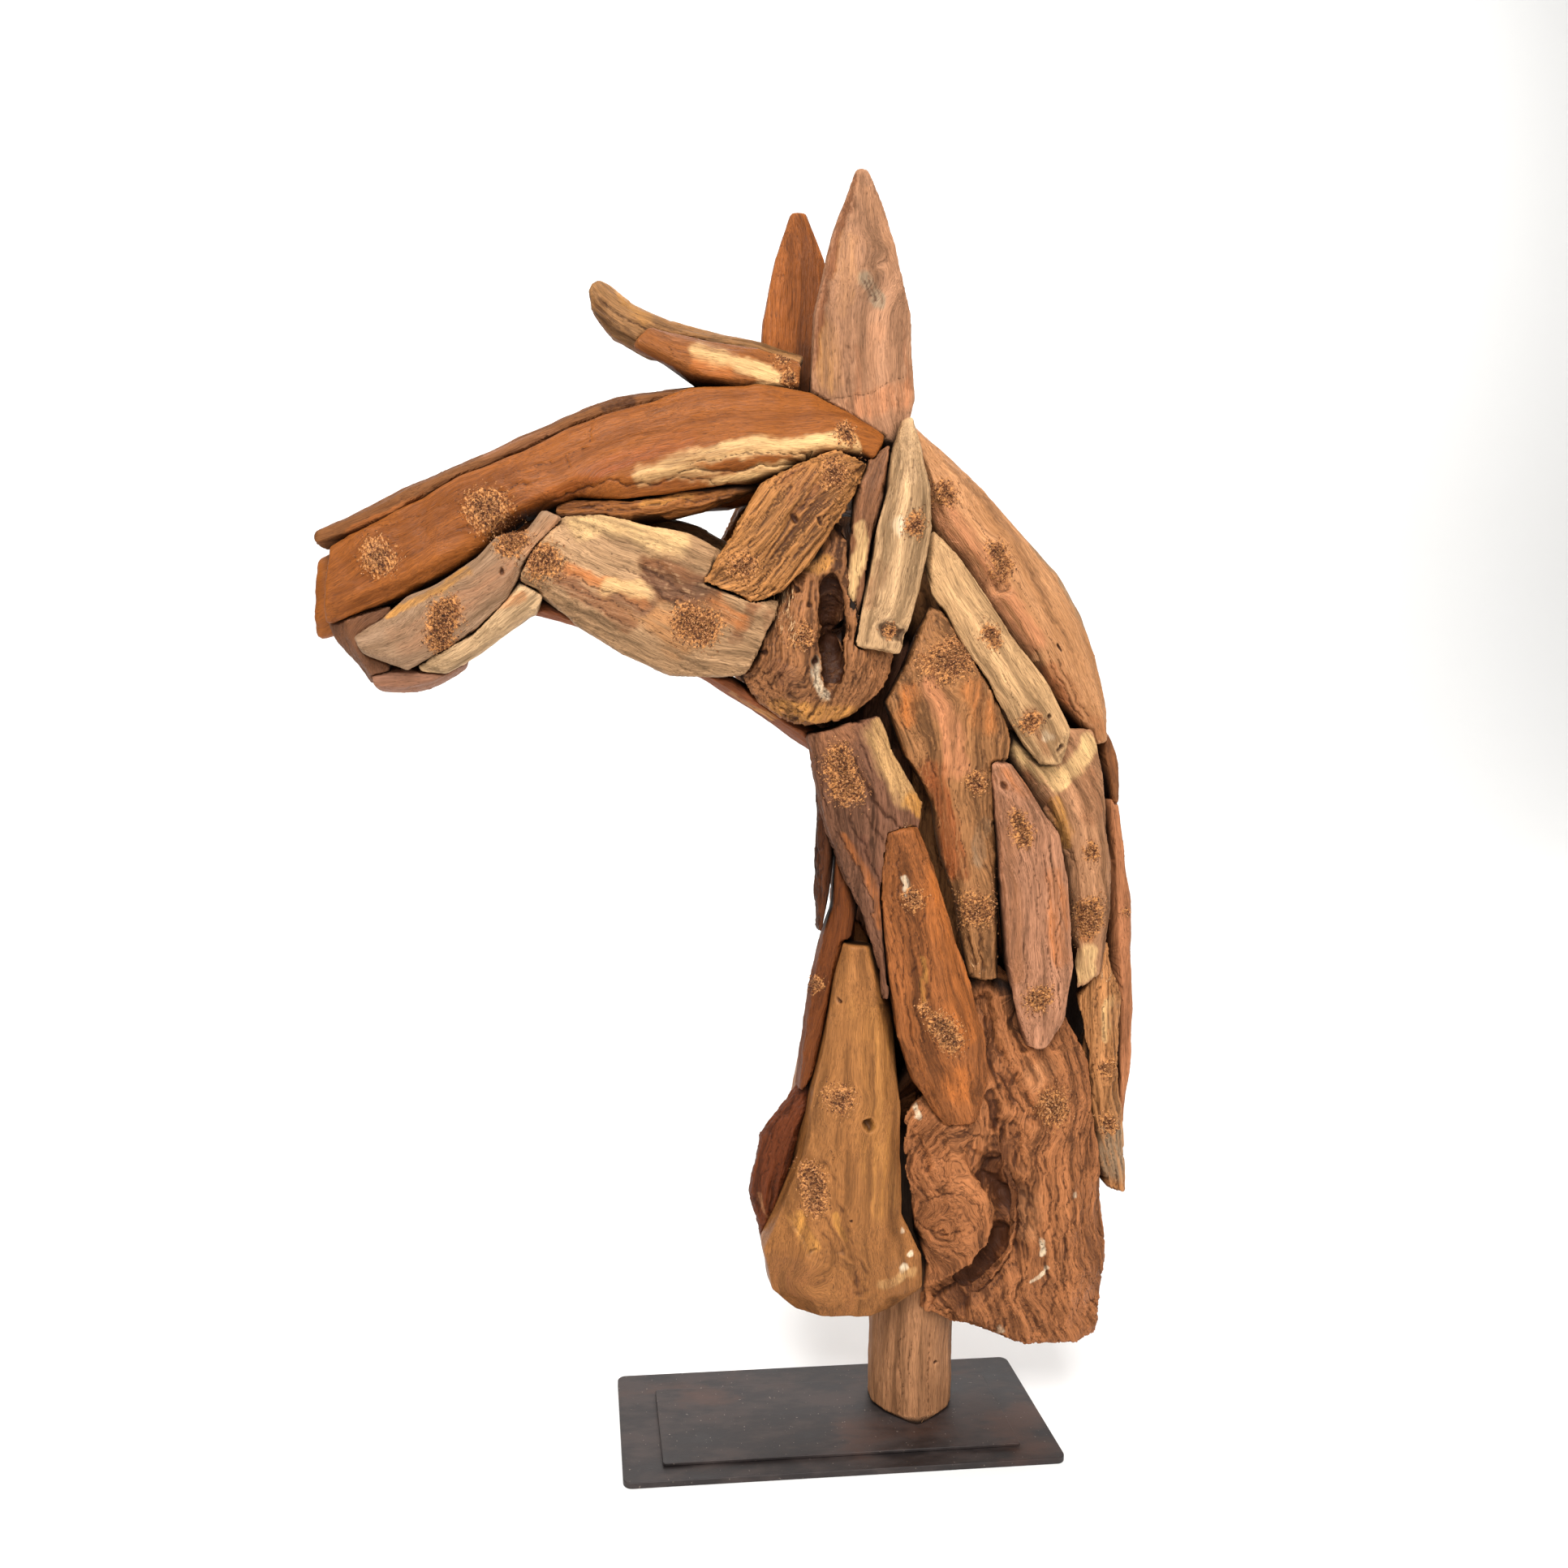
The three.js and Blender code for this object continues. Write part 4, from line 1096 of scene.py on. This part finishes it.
neckBackBranch = {
    "node": "neck_back_branch", "slot": "grey_teak",
    "tones": ("5f3e25", "a0714e", "c68e65"),
    "layer": 4.5, "streaks": 0.7, "fibre": 0.7, "flute": 0.6, "perMetre": 120, "lines": 0.35,
    "gloss": 0.62, "swirl": 12,
    "marks": [
        ("pale", (7.7, 1, 90, 984, 230, 949, 400, 868, 550, 810, 670, 868, 790, 945)),
        ("brown", (5.8, 0.7, 270, 844, 470, 716, 590, 614)),
        ("golden", (5.1, 0.75, 520, 740, 620, 567)),
        ("mauve", (9.7, 0.6, 760, 815, 800, 678)),
        ("plug", (7.8, 1, 810, 532), (11.8, 1, 810, 312, 830, 261)),
        ("pale", (7.3, 0.85, 820, 152, 800, 61)),
        ("orange", (5.9, 0.6, 820, 216)),
        ("groove", (1.05, 1.6, 340, 798, 510, 676, 670, 504), (0.81, 1.12, 720, 492, 770, 429)),
        ("fray", (4, 0.7, 860, -62, 910, -133)),
    ],
}

rootBlock = {
    "node": "root_block", "slot": "red_teak",
    "tones": ("4c2a13", "965d36", "ba7647"),
    "layer": 6.5, "streaks": 0.75, "fibre": 1, "flute": 1.1, "perMetre": 115, "swirl": 34,
    "dent": 9, "lines": 0.55, "bands": 0.5, "gloss": 0.6, "soften": 7,
    "whorls": [(0.136, 0.492, 39.9), (0.183, 0.326, 23.1), (0.587, 0.693, 25.2)],
    "marks": [
        ("plug", (15.4, 1, 697, 651)),
        # brown along the folds and hollows: painted shadow of the folds
        ("brown", (7.5, 0.65, 457, 526, 404, 463, 476, 397, 483, 329, 429, 254, 314, 192),
         (5.3, 0.5, 287, 523), (4.6, 0.6, 384, 868, 395, 769, 490, 705),
         (5.3, 0.7, 401, 682, 418, 605)),
        ("bone", (2.2, 0.85, 50, 652, 60, 627), (2.8, 0.7, 804, 413),
         (2.4, 0.7, 664, 295, 653, 262), (2.2, 0.7, 678, 229, 602, 191), (3.5, 0.7, 472, 46)),
        ("rose", (9.6, 0.5, 573, 406, 596, 318), (10.6, 0.4, 587, 725, 664, 745)),
        ("groove", (3.41, 4.8, 464, 579, 450, 526, 396, 468, 476, 397, 485, 330, 435, 255,
          325, 196, 214, 151, 159, 106), (1.43, 2.4, 558, 535, 594, 362, 576, 231, 531, 129),
         (1.43, 2.4, 667, 575, 677, 360, 668, 137), (1.3, 1.92, 749, 603, 770, 401, 767, 134),
         (1.12, 1.6, 854, 560, 874, 301, 867, 74),
         (1.3, 1.76, 512, 472, 541, 320, 483, 212, 394, 133), (1.12, 1.6, 712, 359, 726, 88),
         (1.05, 2.08, 370, 909, 373, 789, 463, 716, 557, 630),
         (1.24, 1.6, 169, 580, 259, 593, 356, 581), (1.24, 1.6, 75, 395, 208, 432, 340, 400),
         (1.12, 1.44, 61, 348, 184, 315, 284, 336)),
        ("hollow", (15, 9, 495, 578, 484, 526, 450, 468, 507, 407, 521, 333, 474, 256,
          361, 192, 252, 137, 173, 99), (8.7, 3.4, 308, 540, 355, 496),
         (9.2, 7, 383, 910, 396, 789, 486, 716, 588, 630), (4, 4, 510, 869, 560, 807),
         (5.3, 5, 409, 686, 425, 611), (3.3, 2.4, 67, 572, 120, 491)),
    ],
}

frontBlock = {
    "node": "front_block", "slot": "golden_teak",
    "tones": ("482a10", "8f5c30", "b17540"),
    "layer": 1, "streaks": 0.4, "fibre": 0.15, "flute": 0.1, "perMetre": 80, "dent": 4,
    "bands": 0.5, "lines": 0.3, "gloss": 0.45, "bump": 0.3, "soften": 4, "swirl": 14,
    "whorls": [(0.3, 0.116, 28)],
    "marks": [
        ("plug", (12.1, 1, 440, 603), (11.1, 1, 280, 391, 290, 329)),
        ("hole", (4.2, 6, 610, 529), (1.6, 3, 460, 856), (1.2, 2, 530, 277)),
        # tan down the left facet and faint gold on the right: partly the wood's colour, partly
        # painted shade on the left and painted light on the right
        ("tan", (12.7, 0.6, 470, 925, 420, 755, 370, 605, 340, 478)),
        ("golden", (16.8, 0.3, 650, 821, 680, 543, 720, 321)),
        ("brown", (2.7, 0.3, 490, 246, 530, 163, 580, 80)),
        ("golden", (5.9, 0.5, 200, 284, 240, 248, 280, 208)),
        ("brown", (20.1, 0.35, 110, 150, 230, 88, 460, 53)),
        ("bone", (3.4, 0.75, 850, 134), (2.7, 0.7, 910, 167), (2.7, 0.6, 870, 224)),
        ("golden", (3.9, 0.7, 420, 290, 480, 235)),
        ("sand", (5.4, 0.5, 710, 106, 910, 109)),
        ("groove", (0.93, 1.44, 390, 473, 420, 409)),
        ("hollow", (7.8, 2.4, 290, 383, 310, 318),
         (5.9, 2.2, 350, 422, 420, 333, 500, 245, 550, 163, 590, 85),
         (4.6, 1.6, 220, 282, 280, 208), (5.9, 2.2, 340, 281, 430, 204),
         (4, 1.4, 280, 195, 450, 169, 560, 105)),
    ],
}

nearEar = {
    "node": "near_ear", "slot": "pink_teak",
    "tones": ("4f3420", "9c6f50", "c18c68"),
    "layer": 1.6, "streaks": 0.4, "fibre": 0.9, "flute": 0.3, "perMetre": 200, "dent": 2.5,
    "rough": 0.22, "soften": 2, "lines": 0.25, "gloss": 0.62,
    "whorls": [(0.64, 0.656, 19.1)],
    "marks": [
        ("grey", (6.9, 0.9, 510, 603, 590, 547)),
        ("dark", (1, 0.8, 480, 602, 500, 551), (1, 0.8, 540, 615, 550, 535),
         (0.9, 0.7, 600, 593, 630, 536)),
        ("pink", (10.6, 0.6, 380, 163, 620, 183, 840, 206)),
        ("golden", (11.2, 0.38, 100, 426, 150, 249)),
        ("brown", (4.4, 1, 390, 967, 250, 798, 120, 612, 30, 441, 10, 310)),
        # brown down the left bevel: partly the ear's own darker edge, partly painted shade of that
        # side
        ("orange", (8.7, 0.2, 590, 428, 530, 258)),
        ("rose", (10.3, 0.3, 510, 912, 680, 714)),
        ("golden", (7.6, 0.24, 360, 737, 260, 508)),
        ("brown", (3.7, 0.4, 450, 370, 390, 214), (2.5, 0.4, 860, 463, 930, 237)),
        ("groove", (0.56, 1.12, 210, 198, 470, 218, 870, 264)),
        ("hollow", (5, 1.2, 330, 368, 260, 198)),
        ("rough", (9.5, 0.9, 530, 592, 570, 553), (11.2, 0.55, 620, 174, 820, 191),
         (14, 0.5, 640, 742, 700, 629), (9.9, 0.4, 140, 396, 220, 282)),
    ],
}

farEar = {
    "node": "far_ear", "slot": "orange_teak",
    "tones": ("4b250a", "945323", "b76a2f"),
    "layer": 1.2, "streaks": 0.5, "fibre": 0.2, "flute": 0.1, "dent": 2, "bands": 0.6,
    "lines": 0.5, "gloss": 0.5, "soften": 3,
}

forelockLower = {
    "node": "forelock_lower", "slot": "orange_teak",
    "tones": ("6c3b17", "8d5327", "94592b"),
    "layer": 2.6, "streaks": 0.6, "fibre": 0.35, "flute": 0.3,
    "marks": [
        ("pale", (6.8, 0.9, 380, 640, 590, 420, 810, 280)),
        ("mauve", (5.6, 0.65, 110, 950, 320, 860, 590, 670)),
        ("plug", (7.5, 1, 880, 590), (5.6, 1, 910, 260)),
        ("orange", (7.4, 0.6, 370, 380, 520, 250)),
        ("groove", (0.87, 1.28, 220, 680, 250, 500)),
    ],
}

forelockUpper = {
    "node": "forelock_upper", "slot": "orange_teak",
    "tones": ("492e15", "90643a", "b27e4c"),
    "layer": 3.5, "streaks": 0.7, "fibre": 0.6, "flute": 0.5, "grey": 0.15,
    "marks": [
        ("dark", (4.4, 0.6, 37, 760, 82, 590, 186, 360)),
        ("golden", (5.7, 0.5, 145, 820, 275, 570)),
        ("groove", (0.87, 1.28, 59, 760, 163, 570, 275, 470)),
    ],
}

noseStrip = {
    "node": "nose_strip", "slot": "grey_teak",
    "tones": ("583216", "794b27", "7f502b"),
    "layer": 3, "streaks": 0.7, "fibre": 0.5, "flute": 0.4, "gloss": 0.6,
    "marks": [
        ("dark", (4.9, 0.7, 757, 830, 812, 870)),
        ("orange", (3.1, 0.6, 87, 80, 273, 280)),
        ("mauve", (6.1, 0.6, 439, 550, 607, 680)),
        ("rough", (5.5, 0.9, 753, 820, 806, 870), (3.7, 0.8, 324, 430)),
    ],
}

browStrip = {
    "node": "brow_strip", "slot": "brown_teak",
    "tones": ("754219", "8d5526", "a3642f"),
    "layer": 8, "streaks": 0.9, "fibre": 1, "flute": 1.1, "perMetre": 150, "lines": 0.6,
    "marks": [
        ("golden", (3.6, 0.5, 425, 440, 656, 610)),
        ("dark", (3.6, 0.6, 811, 580, 947, 800)),
        ("groove", (0.87, 1.28, 272, 330, 540, 450, 811, 620)),
    ],
}

muzzleFront = {
    "node": "muzzle_front", "slot": "brown_teak",
    "tones": ("674026", "744c33", "7a5138"),
    "layer": 3, "streaks": 0.7, "fibre": 0.5, "flute": 0.4,
}

lowerLip = {
    "node": "lower_lip", "slot": "red_teak",
    "tones": ("83563b", "93664d", "9b6d54"),
    "layer": 3, "streaks": 0.7, "fibre": 0.5, "flute": 0.4,
}

jawStrip = {
    "node": "jaw_strip", "slot": "red_teak",
    "tones": ("713b1d", "7f4627", "864b2b"),
    "layer": 3, "streaks": 0.7, "fibre": 0.5, "flute": 0.4, "gloss": 0.6,
    "marks": [
        ("mauve", (5.5, 0.6, 111, 870, 266, 750)),
        ("golden", (3.7, 0.5, 632, 380, 769, 260)),
    ],
}

frontStrip = {
    "node": "front_strip", "slot": "brown_teak",
    "tones": ("321504", "673515", "78401b"),
    "layer": 3, "streaks": 0.6, "fibre": 0.4, "flute": 0.3, "gloss": 0.5,
    "marks": [
        ("plug", (8.3, 1, 220, 437)),
        ("orange", (6.3, 0.5, 380, 793, 180, 559)),
    ],
}

throatStick = {
    "node": "throat_stick", "slot": "brown_teak",
    "tones": ("1f0c03", "44230f", "562e16"),
    "layer": 6, "streaks": 0.9, "fibre": 1, "flute": 1, "perMetre": 150, "lines": 0.6,
    "marks": [
        ("groove", (0.93, 1.44, 190, 890, 260, 570, 160, 210)),
    ],
}

frontSlab = {
    "node": "front_slab", "slot": "brown_teak",
    "tones": ("381706", "622f15", "6e361a"),
    "layer": 6, "streaks": 0.8, "fibre": 0.9, "flute": 1, "perMetre": 130, "dent": 5,
    "marks": [
        ("rose", (2, 0.6, 120, 370, 290, 160)),
        ("dark", (6.1, 0.5, 700, 510, 480, 290)),
        ("groove", (1.05, 1.6, 670, 920, 330, 730, 120, 410),
         (0.99, 1.28, 740, 750, 500, 510, 280, 280)),
    ],
}

backSplinter = {
    "node": "back_splinter", "slot": "golden_teak",
    "tones": ("6f4623", "a77042", "c78853"),
    "layer": 8, "streaks": 0.9, "fibre": 1.2, "flute": 1.2, "perMetre": 150, "lines": 0.6,
    "grey": 0.2,
    "marks": [
        ("grey", (11.9, 0.85, 630, 255, 750, 105)),
        ("plug", (6.9, 1, 500, 520), (9, 1, 560, 292)),
        ("pale", (4.1, 0.6, 540, 790, 480, 630)),
        ("brown", (4.1, 0.5, 220, 595, 300, 399)),
        ("groove", (1.12, 1.92, 340, 838, 300, 663, 290, 467, 390, 330),
         (0.99, 1.6, 510, 884, 470, 694, 430, 566)),
        ("fray", (3.4, 0.8, 270, 886, 510, 869)),
    ],
}

backStripUpper = {
    "node": "back_strip_upper", "slot": "orange_teak",
    "tones": ("3d210d", "7b4b2a", "996038"),
    "layer": 3, "streaks": 0.7, "fibre": 0.6, "flute": 0.4,
}

backStripLower = {
    "node": "back_strip_lower", "slot": "red_teak",
    "tones": ("61391f", "a36843", "c98357"),
    "layer": 3, "streaks": 0.6, "fibre": 0.6, "flute": 0.4, "bands": 0.5,
    "marks": [
        ("plug", (5.4, 0.7, 550, 659)),
    ],
}

post = {
    "node": "post", "slot": "golden_teak",
    "tones": ("51341e", "9f6f4b", "c48c61"),
    "layer": 1.6, "streaks": 0.5, "fibre": 0.5, "flute": 0.25, "perMetre": 110, "dent": 3,
    "soften": 2, "lines": 0.4, "gloss": 0.62, "swirl": 4,
    "marks": [
        ("hole", (1.2, 2, 700, 211)),
        ("groove", (0.81, 1.12, 280, 328, 250, 21), (0.81, 1.12, 610, 327, 610, 9),
         (0.74, 0.96, 400, 300, 370, 149), (0.74, 0.8, 140, 282, 110, 65)),
        ("fray", (3, 1, -360, 22, -70, -5, 180, -18, 530, 4, 810, 9)),
    ],
}

nearPieces = [
    browPlank, lipPiece, cheekBlock, chinPiece, cheekPlank, jowl, templeBlade, cheekStick,
    manePlank, neckPaleStrip, neckWidePiece, throatBranch, neckRedPlank, neckPinkBoard,
    neckBackBranch, rootBlock, frontBlock, nearEar, farEar, forelockLower, forelockUpper,
    noseStrip, browStrip, muzzleFront, lowerLip, jawStrip, frontStrip, throatStick, frontSlab,
    backSplinter, backStripUpper, backStripLower, post,
]

for look in nearPieces:
    carve(look)
    print("carved", look["node"])

# the far side: the same woods, plainer, with one peg hole in the middle of each
farDefaults = {"voxel": 2.0, "keep": 0.42, "soften": 3, "fibre": 0.5, "swell": 3.5,
               "whorls": (),
               "marks": [("plug", (12, 1, 500, 500))]}
farPieces = {
    "far_brow_plank": browPlank,
    "far_cheek_block": cheekBlock,
    "far_lip_piece": lipPiece,
    "far_cheek_plank": cheekPlank,
    "far_cheek_stick": cheekStick,
    "far_red_plank": neckRedPlank,
    "far_jowl": jowl,
    "far_mane_plank": manePlank,
    "far_front_block": frontBlock,
    "far_root_block": rootBlock,
    "far_throat_board": throatBranch,
    "far_neck_board": neckWidePiece,
    "far_back_board": neckBackBranch,
}

for farNode, twin in farPieces.items():
    carve({**twin, **farDefaults, "node": farNode}, "far")
    print("carved", farNode)


# one piece of all that was scattered
def makeLoose(name, field):
    piece = joined(name, loose[field])
    piece.data.materials.append(looseLook[field][1])
    scene.collection.objects.link(piece)
    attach(piece, "root")
    print(name, len(piece.data.polygons), "faces")


makeLoose("sawdustCrumbs", "plug")
makeLoose("frayedFibres", "fray")

ironLook = {
    "edge": 0.7,          # mm, broken edge
    "black": "2a2423",
    "worn": "453b38",
    "rust": "5d4033",
    "dust": "9d8d80",
    "mottle": (38, 16, 5.0),    # mm along, mm across, detail
    "patch": (110, 62, 4.0),
    "speck": (2.4, 2.4, 1.0),
}


# Hot-rolled steel plate, blackened and waxed: nearly black, slightly mottled, with a little
# rust showing through and a dull, uneven sheen.
def blackIron(look):
    material, add, tree, shader = newMaterial("hot-rolled iron, blackened")
    noise = {}
    for name in ("mottle", "patch", "speck"):
        along, across, detail = look[name]
        place = add("ShaderNodeVectorMath", {0: add("ShaderNodeTexCoord", None, "Object"),
                                             1: pitch(along, across)}, operation="MULTIPLY")
        noise[name] = add("ShaderNodeTexNoise",
                          {"Vector": place, "Scale": 1.0, "Detail": detail, "Roughness": 0.58})
    color = coated(add, linear(look["black"]), (
        (noise["mottle"], 0.38, 0.66, 1.0, linear(look["worn"])),
        (noise["patch"], 0.54, 0.68, 0.45, linear(look["rust"])),
        (noise["speck"], 0.73, 0.77, 0.5, linear(look["dust"]))))
    tree.links.new(color, shader.inputs["Base Color"])
    shader.inputs["Metallic"].default_value = 0.35
    dull = add("ShaderNodeMapRange", {0: noise["mottle"], 1: 0.3, 2: 0.7, 3: 0.48, 4: 0.68})
    tree.links.new(dull, shader.inputs["Roughness"])
    height = add("ShaderNodeMath", {0: noise["speck"], 1: 0.5, 2: noise["mottle"]},
                 operation="MULTIPLY_ADD")
    bump = add("ShaderNodeBump", {"Strength": 0.25, "Distance": 0.6 * mm, "Height": height})
    tree.links.new(bump, shader.inputs["Normal"])
    return material


def makePlates(look):
    iron = blackIron(look)
    for node, name in (("base_plate", "basePlate"), ("top_plate", "topPlate")):
        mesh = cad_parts[node].data.copy()
        build = bmesh.new()
        build.from_mesh(mesh)
        bmesh.ops.remove_doubles(build, verts=build.verts, dist=1e-6)
        bmesh.ops.dissolve_limit(build, angle_limit=math.radians(1), verts=build.verts,
                                 edges=build.edges)
        rim = [edge for edge in build.edges
               if len(edge.link_faces) == 2 and edge.calc_face_angle() > math.radians(60)]
        bmesh.ops.bevel(build, geom=rim, offset=look["edge"] * mm, segments=3, profile=0.5,
                        affect="EDGES", clamp_overlap=True)
        build.to_mesh(mesh)
        build.free()
        mesh.name = name
        mesh.materials.clear()
        mesh.materials.append(iron)
        plate = bpy.data.objects.new(name, mesh)
        scene.collection.objects.link(plate)
        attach(plate, "root")
        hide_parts(node)


makePlates(ironLook)
print("iron stand ready")

total = sum(len(p.vertices) - 2 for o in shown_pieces() if o.type == "MESH" for p in o.data.polygons)
print("triangles in all:", total)
